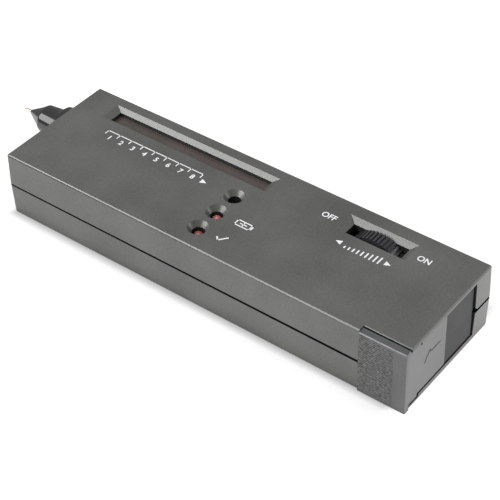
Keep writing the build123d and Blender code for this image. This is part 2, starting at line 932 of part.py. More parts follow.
# Circuit board with an arm that runs past the battery to the potentiometer
with BuildPart() as circuit_board:
    with BuildSketch(Plane.XY.offset(board_z)):
        with BuildLine():
            Polyline(
                (board_left, board_front),
                (board_right, board_front),
                (board_right, pot_front_y),
                (board_arm_end, pot_front_y),
                (board_arm_end, pot_front_y + board_arm_width),
                (board_right, pot_front_y + board_arm_width),
                (board_right, board_back),
                (board_left, board_back),
                close=True,
            )
        make_face()
        with Locations(*standoff_places):
            Circle(board_hole_radius, mode=Mode.SUBTRACT)
    extrude(amount=board_thickness)

# Screws that hold the board on its standoffs
with BuildPart() as board_screws:
    with BuildSketch(Plane.XY.offset(board_top)):
        with Locations(*standoff_places):
            Circle(board_screw_head_radius)
    extrude(amount=board_screw_head_height)
    with BuildSketch(Plane.XY.offset(board_top)):
        with Locations(*standoff_places):
            Circle(board_screw_radius)
    extrude(amount=-board_screw_length)
    with BuildSketch(Plane.XY.offset(board_top + board_screw_head_height)):
        with Locations(*standoff_places):
            Rectangle(screw_cross_length, screw_cross_width)
            Rectangle(screw_cross_width, screw_cross_length)
    extrude(amount=-board_screw_head_height / 2, mode=Mode.SUBTRACT)

# Case screws, put in from the underside
with BuildPart() as case_screws:
    with BuildSketch(Plane.XY.offset(case_screw_head_depth)):
        with Locations(*case_screw_places):
            Circle(case_screw_head_radius)
    extrude(amount=case_screw_head_height)
    with BuildSketch(Plane.XY.offset(case_screw_head_depth)):
        with Locations(*case_screw_places):
            Circle(case_screw_radius)
    extrude(amount=case_screw_length + case_screw_head_height)
    with BuildSketch(Plane.XY.offset(case_screw_head_depth)):
        with Locations(*case_screw_places):
            Rectangle(screw_cross_length, screw_cross_width)
            Rectangle(screw_cross_width, screw_cross_length)
    extrude(amount=screw_cross_depth, mode=Mode.SUBTRACT)

# Row of rectangular lamps, each with its two legs down to the board
holder_top = lens_z - holder_lens_gap
holder_bottom = holder_top - holder_height
bar_row_x = window_right - window_length + bar_row_inset
bar_places = [(bar_row_x + k * bar_lamp_pitch, window_y) for k in range(bar_lamp_count)]
holder_x = bar_row_x + (bar_lamp_count - 1) * bar_lamp_pitch / 2
with BuildPart() as bar_lamps:
    with BuildSketch(Plane.XY.offset(holder_top - bar_lamp_height)):
        with Locations(*bar_places):
            Rectangle(bar_lamp_length, bar_lamp_width)
    extrude(amount=bar_lamp_height)
    with BuildSketch(Plane.XY.offset(board_top)):
        with Locations(*bar_places):
            with GridLocations(leg_spread, leg_spread, 1, 2):
                Rectangle(leg_width, leg_width)
    extrude(amount=holder_top - bar_lamp_height - board_top)

# Black holder that keeps the row in line, standing on a foot at each end
with BuildPart() as lamp_holder:
    holder_size = (
        bar_lamp_count * bar_lamp_pitch + 2 * holder_wall,
        bar_lamp_width + 2 * fit_gap + 2 * holder_wall,
    )
    with BuildSketch(Plane.XY.offset(holder_bottom)):
        with Locations((holder_x, window_y)):
            Rectangle(*holder_size)
        with Locations(*bar_places):
            Rectangle(
                bar_lamp_length + 2 * fit_gap,
                bar_lamp_width + 2 * fit_gap,
                mode=Mode.SUBTRACT,
            )
    extrude(amount=holder_height)
    with BuildSketch(Plane.XY.offset(board_top)):
        with Locations((holder_x, window_y)):
            Rectangle(*holder_size)
            Rectangle(
                holder_size[0] - 2 * holder_wall,
                holder_size[1],
                mode=Mode.SUBTRACT,
            )
    extrude(amount=holder_bottom - board_top)


def indicator(x, y):
    """Domed lamp with a flange and two legs that reach the board."""
    with BuildSketch(Plane.XZ.offset(-y)) as profile:
        with BuildLine():
            Polyline(
                (x, lamp_top),
                (x, lamp_base),
                (x + lamp_flange_radius, lamp_base),
                (x + lamp_flange_radius, lamp_base + lamp_flange_height),
                (x + lamp_radius, lamp_base + lamp_flange_height),
                (x + lamp_radius, lamp_top - lamp_radius),
            )
            CenterArc((x, lamp_top - lamp_radius), lamp_radius, 0, 90)
        make_face()
    revolve(profile.sketch, axis=Axis((x, y, 0), (0, 0, 1)))
    with BuildSketch(Plane.XY.offset(board_top)) as legs:
        with Locations((x, y)):
            with GridLocations(leg_spread, leg_spread, 2, 1):
                Rectangle(leg_width, leg_width)
    extrude(legs.sketch, amount=lamp_base - board_top)


with BuildPart() as battery_lamp:
    indicator(hole_x, hole_y - hole_pitch)
with BuildPart() as ready_lamp:
    indicator(hole_x, hole_y - 2 * hole_pitch)

# Spacer tubes that hold the two indicator lamps up under their holes
with BuildPart() as lamp_spacers:
    with BuildSketch(Plane.XY.offset(board_top)):
        with Locations(*[(hole_x, hole_y - k * hole_pitch) for k in (1, 2)]):
            Circle(spacer_radius)
            Circle(spacer_bore_radius, mode=Mode.SUBTRACT)
    extrude(amount=lamp_base - board_top)

# Buzzer under the open hole
with BuildPart() as buzzer:
    with BuildSketch(Plane.XY.offset(board_top)):
        with Locations((hole_x, hole_y)):
            Circle(buzzer_radius)
    extrude(amount=buzzer_height)
    chamfer(buzzer.faces().sort_by(Axis.Z)[-1].edges(), buzzer_edge)
    with BuildSketch(Plane.XY.offset(board_top + buzzer_height)):
        with Locations((hole_x, hole_y)):
            Circle(buzzer_hole_radius)
    extrude(amount=-buzzer_hole_radius, mode=Mode.SUBTRACT)


def board_place(length_share, depth_share):
    """A place on the board from shares of its length and of its depth."""
    return (
        board_left + length_share * board_length,
        board_front + depth_share * board_depth,
    )


def screw_row_place(span_share, depth_share):
    """A place between the two front board screws, from shares of their span."""
    row_start = standoff_places[0][0]
    row_end = standoff_places[2][0]
    return (
        row_start + span_share * (row_end - row_start),
        board_front + depth_share * board_depth,
    )


# Two chips in line packages, legs on the board
chip_row_shares = (0.407, 0.18)
chip_board_shares = (0.45, 0.47)
chip_places = [screw_row_place(*chip_row_shares), board_place(*chip_board_shares)]
with BuildPart() as chips:
    with BuildSketch(Plane.XY.offset(board_top + chip_standoff)):
        with Locations(*chip_places):
            Rectangle(chip_length, chip_width)
    extrude(amount=chip_height)
    with BuildSketch(Plane.XY.offset(board_top)):
        with Locations(*chip_places):
            with GridLocations(
                chip_leg_pitch,
                chip_width + chip_leg_thickness,
                chip_legs,
                2,
            ):
                Rectangle(chip_leg_width, chip_leg_thickness)
    extrude(amount=chip_standoff + chip_height / 2)

# Capacitors, resistors, trimmers and transistors
capacitor_board_shares = (0.19, 0.485)
capacitor_row_shares = (0.835, 0.162)
capacitor_places = [
    board_place(*capacitor_board_shares),
    screw_row_place(*capacitor_row_shares),
]
with BuildPart() as capacitors:
    with BuildSketch(Plane.XY.offset(board_top)):
        with Locations(*capacitor_places):
            Circle(capacitor_radius)
    extrude(amount=capacitor_height)
    chamfer(capacitors.edges().group_by(Axis.Z)[-1], capacitor_edge)

resistor_place_shares = [(0.234, 0.325), (0.384, 0.325), (0.535, 0.325), (0.496, 0.66)]
resistor_places = [board_place(*shares) for shares in resistor_place_shares]
with BuildPart() as resistors:
    for x, y in resistor_places:
        with BuildSketch(Plane.YZ.offset(x - resistor_length / 2)):
            with Locations((y, board_top + resistor_height)):
                Circle(resistor_radius)
        extrude(amount=resistor_length)
        with BuildSketch(Plane.YZ.offset(x - resistor_length / 4)):
            with Locations((y, board_top + resistor_height)):
                Circle(resistor_radius)
                Circle(resistor_radius - resistor_neck, mode=Mode.SUBTRACT)
        extrude(amount=resistor_length / 2, mode=Mode.SUBTRACT)
        with BuildSketch(Plane.XY.offset(board_top)):
            with Locations((x, y)):
                with GridLocations(resistor_length + leg_width, leg_width, 2, 1):
                    Rectangle(leg_width, leg_width)
        extrude(amount=resistor_height + leg_width / 2)

trimmer_place_shares = [(0.205, 0.673), (0.738, 0.377)]
trimmer_places = [board_place(*shares) for shares in trimmer_place_shares]
with BuildPart() as trimmers:
    with BuildSketch(Plane.XY.offset(board_top)):
        with Locations(*trimmer_places):
            Rectangle(trimmer_size, trimmer_size)
    extrude(amount=trimmer_height)
    with BuildSketch(Plane.XY.offset(board_top + trimmer_height)):
        with Locations(*trimmer_places):
            Circle(trimmer_dial_radius)
            Rectangle(2 * trimmer_dial_radius, trimmer_slot_width, mode=Mode.SUBTRACT)
    extrude(amount=trimmer_slot_width)

transistor_place_shares = [(0.358, 0.676), (0.623, 0.676)]
transistor_places = [board_place(*shares) for shares in transistor_place_shares]
with BuildPart() as transistors:
    with BuildSketch(Plane.XY.offset(board_top + transistor_standoff)):
        with Locations(*transistor_places):
            Circle(transistor_radius)
        for x, y in transistor_places:
            with Locations((x, y - transistor_radius)):
                Rectangle(2 * transistor_radius, transistor_radius, mode=Mode.SUBTRACT)
    extrude(amount=transistor_height)
    with BuildSketch(Plane.XY.offset(board_top)):
        with Locations(*transistor_places):
            with GridLocations(leg_spread / 2, leg_width, 3, 1):
                Rectangle(leg_width, leg_width)
    extrude(amount=transistor_standoff)

# Probe collar, seated on the end face of the case
with BuildPart() as probe_collar:
    turned(
        [
            (0, barrel_radius + thread_gap),
            (0, collar_radius),
            (collar_length - collar_edge, collar_radius),
            (collar_length, collar_radius - collar_edge),
            (collar_length, barrel_radius + thread_gap),
        ]
    )

# Probe nose: a slightly tapered body, then a cone with a rounded end
nose_shoulder = collar_length + nose_body_length
nose_end = nose_shoulder + nose_cone_length
cavity_end = carrier_front + tip_flange_thickness + seat_gap
with BuildPart() as probe_nose:
    turned(
        [
            (collar_length, barrel_radius + thread_gap),
            (collar_length, nose_base_radius),
            (nose_shoulder, nose_shoulder_radius),
            (nose_end - nose_end_round, nose_end_radius),
            (nose_end, nose_end_radius - nose_end_round / 2),
            (nose_end, needle_bore_radius),
            (cavity_end, needle_bore_radius),
            (cavity_end, nose_cavity_radius),
            (barrel_outer_length, nose_cavity_radius),
            (barrel_outer_length, barrel_radius + thread_gap),
        ]
    )

# Probe barrel: a flanged tube through the end wall, closed behind but for the leads
barrel_back = -barrel_inner_length
flange_front = -(side_wall + draft_run)
with BuildPart() as probe_barrel:
    turned(
        [
            (barrel_outer_length, barrel_bore_radius),
            (barrel_outer_length, barrel_radius),
            (flange_front, barrel_radius),
            (flange_front, flange_radius),
            (flange_front - flange_thickness, flange_radius),
            (flange_front - flange_thickness, barrel_radius),
            (barrel_back, barrel_radius),
            (barrel_back, barrel_lead_radius),
            (barrel_back + barrel_end_wall, barrel_lead_radius),
            (barrel_back + barrel_end_wall, barrel_bore_radius),
        ]
    )

# Carrier that slides in the barrel, with the heater in its front bore
with BuildPart() as tip_carrier:
    turned(
        [
            (carrier_front - carrier_length, 0),
            (carrier_front - carrier_length, carrier_radius),
            (carrier_front, carrier_radius),
            (carrier_front, heater_radius + thread_gap),
            (carrier_front - heater_length, heater_radius + thread_gap),
            (carrier_front - heater_length, 0),
        ]
    )
with BuildPart() as tip_heater:
    turned(
        [
            (carrier_front - heater_length, 0),
            (carrier_front - heater_length, heater_radius),
            (carrier_front, heater_radius),
            (carrier_front, 0),
        ]
    )

# Copper tip: a flange against the heater and a needle out of the nose
needle_end = nose_end + needle_reach
with BuildPart() as probe_tip:
    turned(
        [
            (carrier_front, 0),
            (carrier_front, tip_flange_radius),
            (carrier_front + tip_flange_thickness, tip_flange_radius),
            (carrier_front + tip_flange_thickness, needle_radius),
            (needle_end - needle_taper, needle_radius),
            (needle_end, needle_end_radius),
            (needle_end, 0),
        ]
    )

# Return spring between the barrel's end wall and the carrier, in quarter-turn arcs
spring_start = barrel_back + barrel_end_wall + spring_wire_radius + thread_gap
spring_stop = carrier_front - carrier_length - spring_wire_radius - thread_gap
spring_quarters = 4 * spring_turns
spring_rise = (spring_stop - spring_start) / spring_quarters
spring_points = [
    (
        probe_end - spring_start - k * spring_rise,
        probe_y + spring_radius * math.cos(k * math.pi / 2),
        seam_height + spring_radius * math.sin(k * math.pi / 2),
    )
    for k in range(spring_quarters + 1)
]
spring_slope = spring_rise / (math.sqrt(2) * spring_radius)
with BuildPart() as probe_spring:
    with BuildLine() as coil:
        quarter = TangentArc(
            spring_points[0],
            spring_points[1],
            tangent=(-spring_slope, 0, 1),
        )
        for point in spring_points[2:]:
            quarter = TangentArc(quarter @ 1, point, tangent=quarter % 1)
    with BuildSketch(Plane(origin=coil.line @ 0, z_dir=coil.line % 0)):
        RegularPolygon(spring_wire_radius, spring_wire_sides)
    sweep(path=coil.line)

# Leads from the snap connector through the bulkhead's notch to the board
lead_z = battery_z + terminal_stud_radius
lead_radii = []


def battery_lead(side):
    """Points of the lead on one side of the snap connector's middle."""
    y = battery_y + side * lead_spread
    end_y = y + side * lead_radius
    x = snap_x - lead_first_run
    return [
        (snap_x, y, lead_z),
        (x, y, lead_z),
        (x - lead_second_run, y, lead_z - lead_fall),
        (x - lead_second_run - lead_third_run, end_y, board_top + lead_fall),
        (x - lead_second_run - lead_third_run, end_y, board_top),
    ]


with BuildPart() as red_lead:
    lead_radii += wire(battery_lead(1), lead_radius)
with BuildPart() as black_lead:
    lead_radii += wire(battery_lead(-1), lead_radius)

# Leads from the barrel's end wall to the board
barrel_plug_x = probe_end + barrel_inner_length - barrel_end_wall
with BuildPart() as probe_leads:
    for side in (-1, 1):
        lead_y = probe_y + side * barrel_lead_radius / 2
        bend_x = barrel_plug_x + probe_lead_run
        lead_radii += wire(
            [
                (barrel_plug_x, lead_y, seam_height),
                (bend_x, lead_y, seam_height),
                (
                    bend_x + probe_lead_reach,
                    lead_y - probe_lead_shift,
                    seam_height - probe_lead_fall,
                ),
                (bend_x + probe_lead_reach, lead_y - probe_lead_shift, board_top),
            ],
            probe_lead_radius,
        )

pieces = {
    "top_shell": top_shell,
    "bottom_shell": bottom_shell,
    "window_lens": window_lens,
    "bar_lamps": bar_lamps,
    "lamp_holder": lamp_holder,
    "battery_lamp": battery_lamp,
    "ready_lamp": ready_lamp,
    "lamp_spacers": lamp_spacers,
    "buzzer": buzzer,
    "circuit_board": circuit_board,
    "board_screws": board_screws,
    "chips": chips,
    "capacitors": capacitors,
    "resistors": resistors,
    "trimmers": trimmers,
    "transistors": transistors,
    "wheel_pot": wheel_pot,
    "thumbwheel": thumbwheel,
    "wheel_shaft": wheel_shaft,
    "wheel_screw": wheel_screw,
    "battery": battery,
    "battery_terminals": battery_terminals,
    "battery_snap": battery_snap,
    "snap_contacts": snap_contacts,
    "red_lead": red_lead,
    "black_lead": black_lead,
    "battery_door": battery_door,
    "foam_pad": foam_pad,
    "case_screws": case_screws,
    "probe_collar": probe_collar,
    "probe_nose": probe_nose,
    "probe_barrel": probe_barrel,
    "tip_carrier": tip_carrier,
    "tip_heater": tip_heater,
    "probe_tip": probe_tip,
    "probe_spring": probe_spring,
    "probe_leads": probe_leads,
}
for name, piece in pieces.items():
    piece.part.label = name
    export_step(piece.part, f"parts/{name}.step")

print("case", case_length, case_width, case_height)
print("lead radii", [round(radius, 2) for radius in lead_radii])
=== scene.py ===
import math
import bpy
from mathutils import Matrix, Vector


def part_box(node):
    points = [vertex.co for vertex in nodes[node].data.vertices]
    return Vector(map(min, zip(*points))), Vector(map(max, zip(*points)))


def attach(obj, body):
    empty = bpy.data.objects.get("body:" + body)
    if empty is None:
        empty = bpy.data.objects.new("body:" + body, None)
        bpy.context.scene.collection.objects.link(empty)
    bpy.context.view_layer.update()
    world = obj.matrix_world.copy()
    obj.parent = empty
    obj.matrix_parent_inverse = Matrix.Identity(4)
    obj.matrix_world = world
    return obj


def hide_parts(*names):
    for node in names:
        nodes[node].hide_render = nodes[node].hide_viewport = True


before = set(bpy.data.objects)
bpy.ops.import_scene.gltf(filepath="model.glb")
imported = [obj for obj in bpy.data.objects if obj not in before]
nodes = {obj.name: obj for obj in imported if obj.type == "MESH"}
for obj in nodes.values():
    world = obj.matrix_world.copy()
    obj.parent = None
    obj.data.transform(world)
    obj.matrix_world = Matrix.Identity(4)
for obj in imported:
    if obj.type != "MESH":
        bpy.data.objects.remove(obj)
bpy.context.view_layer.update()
mm = 0.001
hair = 0.02 * mm  # two levels closer than this are the same
sliver = 0.0001 * mm  # where a turned profile goes square


def bounds(name):
    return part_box(name)


caseTop = bounds("top_shell")[1].z
caseEnd = bounds("top_shell")[1].x
caseSide = bounds("top_shell")[1].y
seam = bounds("top_shell")[0].z
caseSize = [round(length / mm, 1) for length in (2 * caseEnd, 2 * caseSide, caseTop)]
print("frame loaded, case", *caseSize)


# ways of working on one object at a time

def deselectAll():
    if bpy.context.object and bpy.context.object.mode != "OBJECT":
        bpy.ops.object.mode_set(mode="OBJECT")
    bpy.ops.object.select_all(action="DESELECT")


def pick(obj):
    deselectAll()
    obj.select_set(True)
    bpy.context.view_layer.objects.active = obj
    return obj


def settle(obj):  # puts its place, turn and scale into the mesh
    pick(obj)
    bpy.ops.object.transform_apply(location=True, rotation=True, scale=True)
    return obj


def modify(obj, kind, **values):
    pick(obj)
    modifier = obj.modifiers.new(kind.lower(), kind)
    for key, value in values.items():
        setattr(modifier, key, value)
    bpy.ops.object.modifier_apply(modifier=modifier.name)
    return obj


def smoothBy(obj, degrees=30):
    pick(obj)
    bpy.ops.object.shade_smooth_by_angle(angle=math.radians(degrees))
    return obj


def closeUp(obj):  # merges doubles and turns the faces outwards
    pick(obj)
    bpy.ops.object.mode_set(mode="EDIT")
    bpy.ops.mesh.select_all(action="SELECT")
    bpy.ops.mesh.remove_doubles(threshold=1e-6)
    bpy.ops.mesh.normals_make_consistent(inside=False)
    bpy.ops.object.mode_set(mode="OBJECT")
    return obj


def joined(name, pieces):
    deselectAll()
    for piece in pieces:
        piece.select_set(True)
    bpy.context.view_layer.objects.active = pieces[0]
    if len(pieces) > 1:
        bpy.ops.object.join()
    pieces[0].name = name
    return pieces[0]


def finishPiece(obj, body, materials, stands=()):
    finishes = [face.material_index for face in obj.data.polygons]  # clear() forgets them
    obj.data.materials.clear()
    for material in materials:
        obj.data.materials.append(material)
    for face, finish in zip(obj.data.polygons, finishes):
        face.material_index = finish
    if stands:
        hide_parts(*stands)
    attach(obj, body)
    return obj


def dress(nodeName, *materials):  # gives a CAD node its material
    slots = nodes[nodeName].data.materials
    slots.clear()
    for material in materials:
        slots.append(material)


def block(name, low, high):
    middle = (Vector(low) + Vector(high)) / 2
    bpy.ops.mesh.primitive_cube_add(size=1, location=middle)
    made = bpy.context.object
    made.name = name
    made.scale = Vector(high) - Vector(low)
    return settle(made)


def turned(name, profile, start, along, sides, bevel=0.0):
    # profile is (reach, radius) from start; the last radius may be 0
    bpy.ops.mesh.primitive_circle_add(vertices=sides, radius=profile[0][1], fill_type="NGON")
    made = bpy.context.object
    made.name = name
    bpy.ops.object.mode_set(mode="EDIT")
    bpy.ops.mesh.select_all(action="SELECT")
    bpy.ops.mesh.select_mode(type="EDGE")
    reach, radius = profile[0]
    for nextReach, nextRadius in profile[1:]:
        bpy.ops.mesh.extrude_region_move(
            TRANSFORM_OT_translate={"value": (0, 0, nextReach - reach)}
        )
        if nextRadius > 0:
            share = nextRadius / radius
            bpy.ops.transform.resize(value=(share, share, 1), center_override=(0, 0, nextReach))
            radius = nextRadius
        else:
            bpy.ops.mesh.merge(type="CENTER")
        reach = nextReach
    bpy.ops.object.mode_set(mode="OBJECT")
    closeUp(made)
    if bevel:
        modify(made, "BEVEL", width=bevel, segments=3, limit_method="ANGLE", angle_limit=math.radians(25))
    made.rotation_euler = Vector(along).to_track_quat("Z", "Y").to_euler()
    made.location = start
    settle(made)
    return smoothBy(made, 35)


# ways of building a material

def feed(tree, socket, value):  # links a socket or sets a value
    if isinstance(value, bpy.types.NodeSocket):
        tree.links.new(value, socket)
    else:
        socket.default_value = value


def addNode(tree, kind, settings=None, **inputs):
    made = tree.nodes.new("ShaderNode" + kind)
    for key, value in (settings or {}).items():
        setattr(made, key, value)
    for key, value in inputs.items():
        feed(tree, made.inputs[key.replace("_", " ")], value)
    return made


def maths(tree, operation, *values):
    made = addNode(tree, "Math", {"operation": operation})
    for socket, value in zip(made.inputs, values):
        feed(tree, socket, value)
    return made.outputs[0]


def largest(tree, first, *others):
    for value in others:
        first = maths(tree, "MAXIMUM", first, value)
    return first


def startMaterial(name, **values):
    material = bpy.data.materials.new(name)
    material.use_nodes = True
    tree = material.node_tree
    shader = tree.nodes["Principled BSDF"]
    for key, value in values.items():
        shader.inputs[key.replace("_", " ")].default_value = value
    place = addNode(tree, "TexCoord").outputs["Object"]
    return material, tree, shader, place


def grain(tree, place, scale, detail=3.0, stretch=None):
    if stretch:
        place = addNode(tree, "Mapping", Vector=place, Scale=stretch).outputs["Vector"]
    return addNode(tree, "TexNoise", Vector=place, Scale=scale, Detail=detail).outputs["Fac"]


def between(tree, value, low, high, fromLow=0.3, fromHigh=0.7):
    made = addNode(tree, "MapRange", Value=value, From_Min=fromLow, From_Max=fromHigh,
                   To_Min=low, To_Max=high)
    return made.outputs["Result"]


def mixColour(tree, factor, first, second):
    made = tree.nodes.new("ShaderNodeMix")
    made.data_type = "RGBA"
    for socket, value in ((0, factor), (6, first), (7, second)):
        feed(tree, made.inputs[socket], (*value, 1) if isinstance(value, tuple) else value)
    return made.outputs[2]


def bumped(tree, shader, height, strength, distance):
    made = addNode(tree, "Bump", Height=height, Strength=strength, Distance=distance)
    tree.links.new(made.outputs["Normal"], shader.inputs["Normal"])


# what a finish has where its own dictionary says nothing
usualLook = {"wide": 60, "stretch": None, "relief": 0.1, "depth": 0.02 * mm, "values": {}}


def speckled(name, look):
    # one finish of slightly uneven colour, roughness and fine relief
    look = {**usualLook, **look}
    material, tree, shader, place = startMaterial(name, **look["values"])
    dark, light = look["colours"]
    wide = grain(tree, place, look["wide"], 4)
    fine = grain(tree, place, look["fine"], 2, look["stretch"])
    both = maths(tree, "ADD", wide, fine)
    colour = mixColour(tree, between(tree, both, 0, 1, 0.7, 1.3), dark, light)
    tree.links.new(colour, shader.inputs["Base Color"])
    low, high = look["rough"]
    tree.links.new(between(tree, wide, low, high), shader.inputs["Roughness"])
    bumped(tree, shader, fine, look["relief"], look["depth"])
    return material


# finishes

paintLook = {
    "colours": ((0.108, 0.108, 0.1045), (0.172, 0.172, 0.1665)),
    "rough": (0.34, 0.42),
    "wide": 45,
    "fine": 3800,
    "relief": 0.16,
    "values": {"Metallic": 0.55},
}
graphitePaint = speckled("graphitePaint", paintLook)

doorLookPlain = {
    "colours": ((0.088, 0.088, 0.091), (0.130, 0.130, 0.134)),
    "rough": (0.36, 0.46),
    "wide": 120,
    "fine": 4500,
    "relief": 0.16,
    "values": {"Metallic": 0.25},
}
doorPlastic = speckled("doorPlastic", doorLookPlain)
# the end plate in a lighter copy of the door finish: painted light on the side the light falls on
litPlateLook = {**doorLookPlain, "colours": ((0.150, 0.150, 0.152), (0.200, 0.200, 0.203))}
litPlatePlastic = speckled("litPlatePlastic", litPlateLook)

# the lip's top in a darker copy of the door finish: painted shade, the dark reflection it shows
shadedLipLook = {
    "colours": ((0.060, 0.062, 0.064), (0.084, 0.087, 0.090)),
    "rough": (0.30, 0.38),
    "wide": 200,
    "fine": 6000,
    "depth": 0.01 * mm,
    "values": {"Metallic": 0.25},
}
shadedLipPlastic = speckled("shadedLipPlastic", shadedLipLook)

# a lighter copy of the door finish on the lip's front ridge: a painted highlight
ridgeHighlightLook = {
    "colours": ((0.17, 0.17, 0.174), (0.27, 0.27, 0.276)),
    "rough": (0.28, 0.38),
    "wide": 500,
    "fine": 6000,
    "depth": 0.01 * mm,
    "values": {"Metallic": 0.4},
}
ridgeHighlight = speckled("ridgeHighlight", ridgeHighlightLook)

bareLook = {
    "colours": ((0.016, 0.016, 0.016), (0.030, 0.030, 0.030)),
    "rough": (0.45, 0.6),
    "fine": 3000,
    "relief": 0.15,
}
barePlastic = speckled("barePlastic", bareLook)

# painted shade deep in the seam groove, darker than the bare plastic
seamLook = {
    "colours": ((0.003, 0.003, 0.003), (0.007, 0.007, 0.007)),
    "rough": (0.8, 0.95),
    "fine": 3000,
    "values": {"Specular IOR Level": 0.1},
}
seamShade = speckled("seamShade", seamLook)

# the strip under the front chamfer in a darker copy of the paint: a painted dark line below the chamfer's
# highlight
shadedStripLook = {
    **paintLook,
    "colours": ((0.045, 0.045, 0.044), (0.070, 0.070, 0.068)),
    "values": {"Metallic": 0.3},
}
shadedStripPaint = speckled("shadedStripPaint", shadedStripLook)

tongueLook = {
    "colours": ((0.036, 0.037, 0.039), (0.062, 0.063, 0.066)),
    "rough": (0.5, 0.62),
    "wide": 300,
    "fine": 5000,
    "stretch": (1, 1, 0.08),
    "relief": 0.3,
    "values": {"Specular IOR Level": 0.3},
}
tonguePlastic = speckled("tonguePlastic", tongueLook)

wheelLook = {
    "colours": ((0.023, 0.023, 0.026), (0.042, 0.042, 0.046)),
    "rough": (0.22, 0.34),
    "fine": 2500,
    "relief": 0.08,
}
wheelPlastic = speckled("wheelPlastic", wheelLook)

probeLook = {
    "colours": ((0.010, 0.010, 0.011), (0.016, 0.016, 0.017)),
    "rough": (0.07, 0.12),
    "wide": 200,
    "fine": 2500,
    "relief": 0.02,
    "values": {"Coat Weight": 0.3, "Coat Roughness": 0.06},
}
probePlastic = speckled("probePlastic", probeLook)

copperLook = {
    "colours": ((0.56, 0.43, 0.32), (0.70, 0.58, 0.47)),
    "rough": (0.18, 0.32),
    "wide": 400,
    "fine": 6000,
    "stretch": (0.1, 1, 1),
    "values": {"Metallic": 1.0},
}
copperMetal = speckled("copperMetal", copperLook)

steelLook = {
    "colours": ((0.36, 0.36, 0.37), (0.52, 0.52, 0.53)),
    "rough": (0.26, 0.4),
    "fine": 5000,
    "values": {"Metallic": 1.0},
}
zincSteel = speckled("zincSteel", steelLook)

nickelLook = {
    "colours": ((0.58, 0.57, 0.54), (0.72, 0.71, 0.68)),
    "rough": (0.14, 0.26),
    "fine": 4000,
    "relief": 0.05,
    "values": {"Metallic": 1.0},
}
nickelPlate = speckled("nickelPlate", nickelLook)

inkLook = {
    "colours": ((0.72, 0.73, 0.73), (0.86, 0.87, 0.87)),
    "rough": (0.5, 0.6),
    "wide": 500,
    "fine": 9000,
    "relief": 0.05,
}
printInk = speckled("printInk", inkLook)

# near black for the arrow's raised lines: painted shade of their relief
shadedArrowLook = {
    "colours": ((0.020, 0.020, 0.021), (0.035, 0.035, 0.036)),
    "rough": (0.5, 0.6),
    "fine": 6000,
    "relief": 0.05,
}
shadedArrowLine = speckled("shadedArrowLine", shadedArrowLook)

nylonLook = {
    "colours": ((0.60, 0.59, 0.53), (0.74, 0.73, 0.68)),
    "rough": (0.38, 0.5),
    "fine": 2500,
    "relief": 0.08,
    "values": {"Subsurface Weight": 0.15},
}
nylon = speckled("nylon", nylonLook)

ceramicLook = {
    "colours": ((0.72, 0.70, 0.64), (0.84, 0.82, 0.77)),
    "rough": (0.5, 0.65),
    "fine": 6000,
    "relief": 0.2,
}
ceramic = speckled("ceramic", ceramicLook)

sleeveLook = {
    "colours": ((0.012, 0.016, 0.060), (0.024, 0.030, 0.095)),
    "rough": (0.25, 0.4),
    "fine": 1800,
}
capSleeve = speckled("capSleeve", sleeveLook)

trimmerLook = {
    "colours": ((0.020, 0.080, 0.300), (0.034, 0.110, 0.380)),
    "rough": (0.3, 0.4),
    "fine": 2500,
}
trimmerBlue = speckled("trimmerBlue", trimmerLook)

epoxyLook = {
    "colours": ((0.016, 0.016, 0.017), (0.030, 0.030, 0.031)),
    "rough": (0.5, 0.65),
    "fine": 5000,
    "relief": 0.25,
}
chipEpoxy = speckled("chipEpoxy", epoxyLook)

rubberBlackLook = {
    "colours": ((0.012, 0.012, 0.012), (0.024, 0.024, 0.024)),
    "rough": (0.4, 0.55),
    "fine": 2500,
    "relief": 0.12,
}
blackRubber = speckled("blackRubber", rubberBlackLook)

rubberRedLook = {
    "colours": ((0.30, 0.010, 0.010), (0.44, 0.020, 0.016)),
    "rough": (0.35, 0.5),
    "fine": 2500,
    "relief": 0.12,
}
redRubber = speckled("redRubber", rubberRedLook)

foamLook = {
    "colours": ((0.014, 0.014, 0.015), (0.050, 0.050, 0.052)),
    "rough": (0.85, 1.0),
    "wide": 900,
    "fine": 1800,
    "relief": 0.9,
    "depth": 0.2 * mm,
}
foamRubber = speckled("foamRubber", foamLook)

gripLook = {
    "height": 18.4 * mm,
    "ribs": 30,
    "phase": -1.59,  # painted shade in the grooves between the ribs
    "rows": (0.06, 0.60),
    "dashes": (1200, 1200, 2900),
    "dashTones": (-0.23, 0.27),
    "colours": ((0.024, 0.024, 0.0245), (0.215, 0.215, 0.219)),
    "mouldHighlights": (10.8 * mm, 13.35 * mm),
    "lineHalf": 0.05 * mm,
    "highlightTone": 0.5,
    "relief": 0.3,
    "depth": 0.05 * mm,
}


def makeGripPaint():
    # one row of dashes to each rib, dark in its grooves as painted shade, with two thin mould lines across
    # drawn as painted highlights
    material, tree, shader, place = startMaterial("gripShadedPaint", Metallic=0.25, Roughness=0.5)
    waves = math.pi / 10 * gripLook["ribs"] / gripLook["height"]
    rows = addNode(tree, "TexWave", {"bands_direction": "Z"}, Vector=place, Scale=waves,
                   Phase_Offset=gripLook["phase"], Distortion=0.4, Detail=1.0, Detail_Scale=2.0)
    rowShade = between(tree, rows.outputs["Fac"], *gripLook["rows"], 0, 1)
    dashes = grain(tree, place, 1, 0.5, gripLook["dashes"])
    tone = maths(tree, "ADD", rowShade, between(tree, dashes, *gripLook["dashTones"]))
    height = addNode(tree, "SeparateXYZ", Vector=place).outputs["Z"]
    for level in gripLook["mouldHighlights"]:
        near = maths(tree, "COMPARE", height, level, gripLook["lineHalf"])
        tone = largest(tree, tone, maths(tree, "MULTIPLY", near, gripLook["highlightTone"]))
    colour = mixColour(tree, tone, *gripLook["colours"])
    tree.links.new(colour, shader.inputs["Base Color"])
    bumped(tree, shader, tone, gripLook["relief"], gripLook["depth"])
    return material


gripShadedPaint = makeGripPaint()


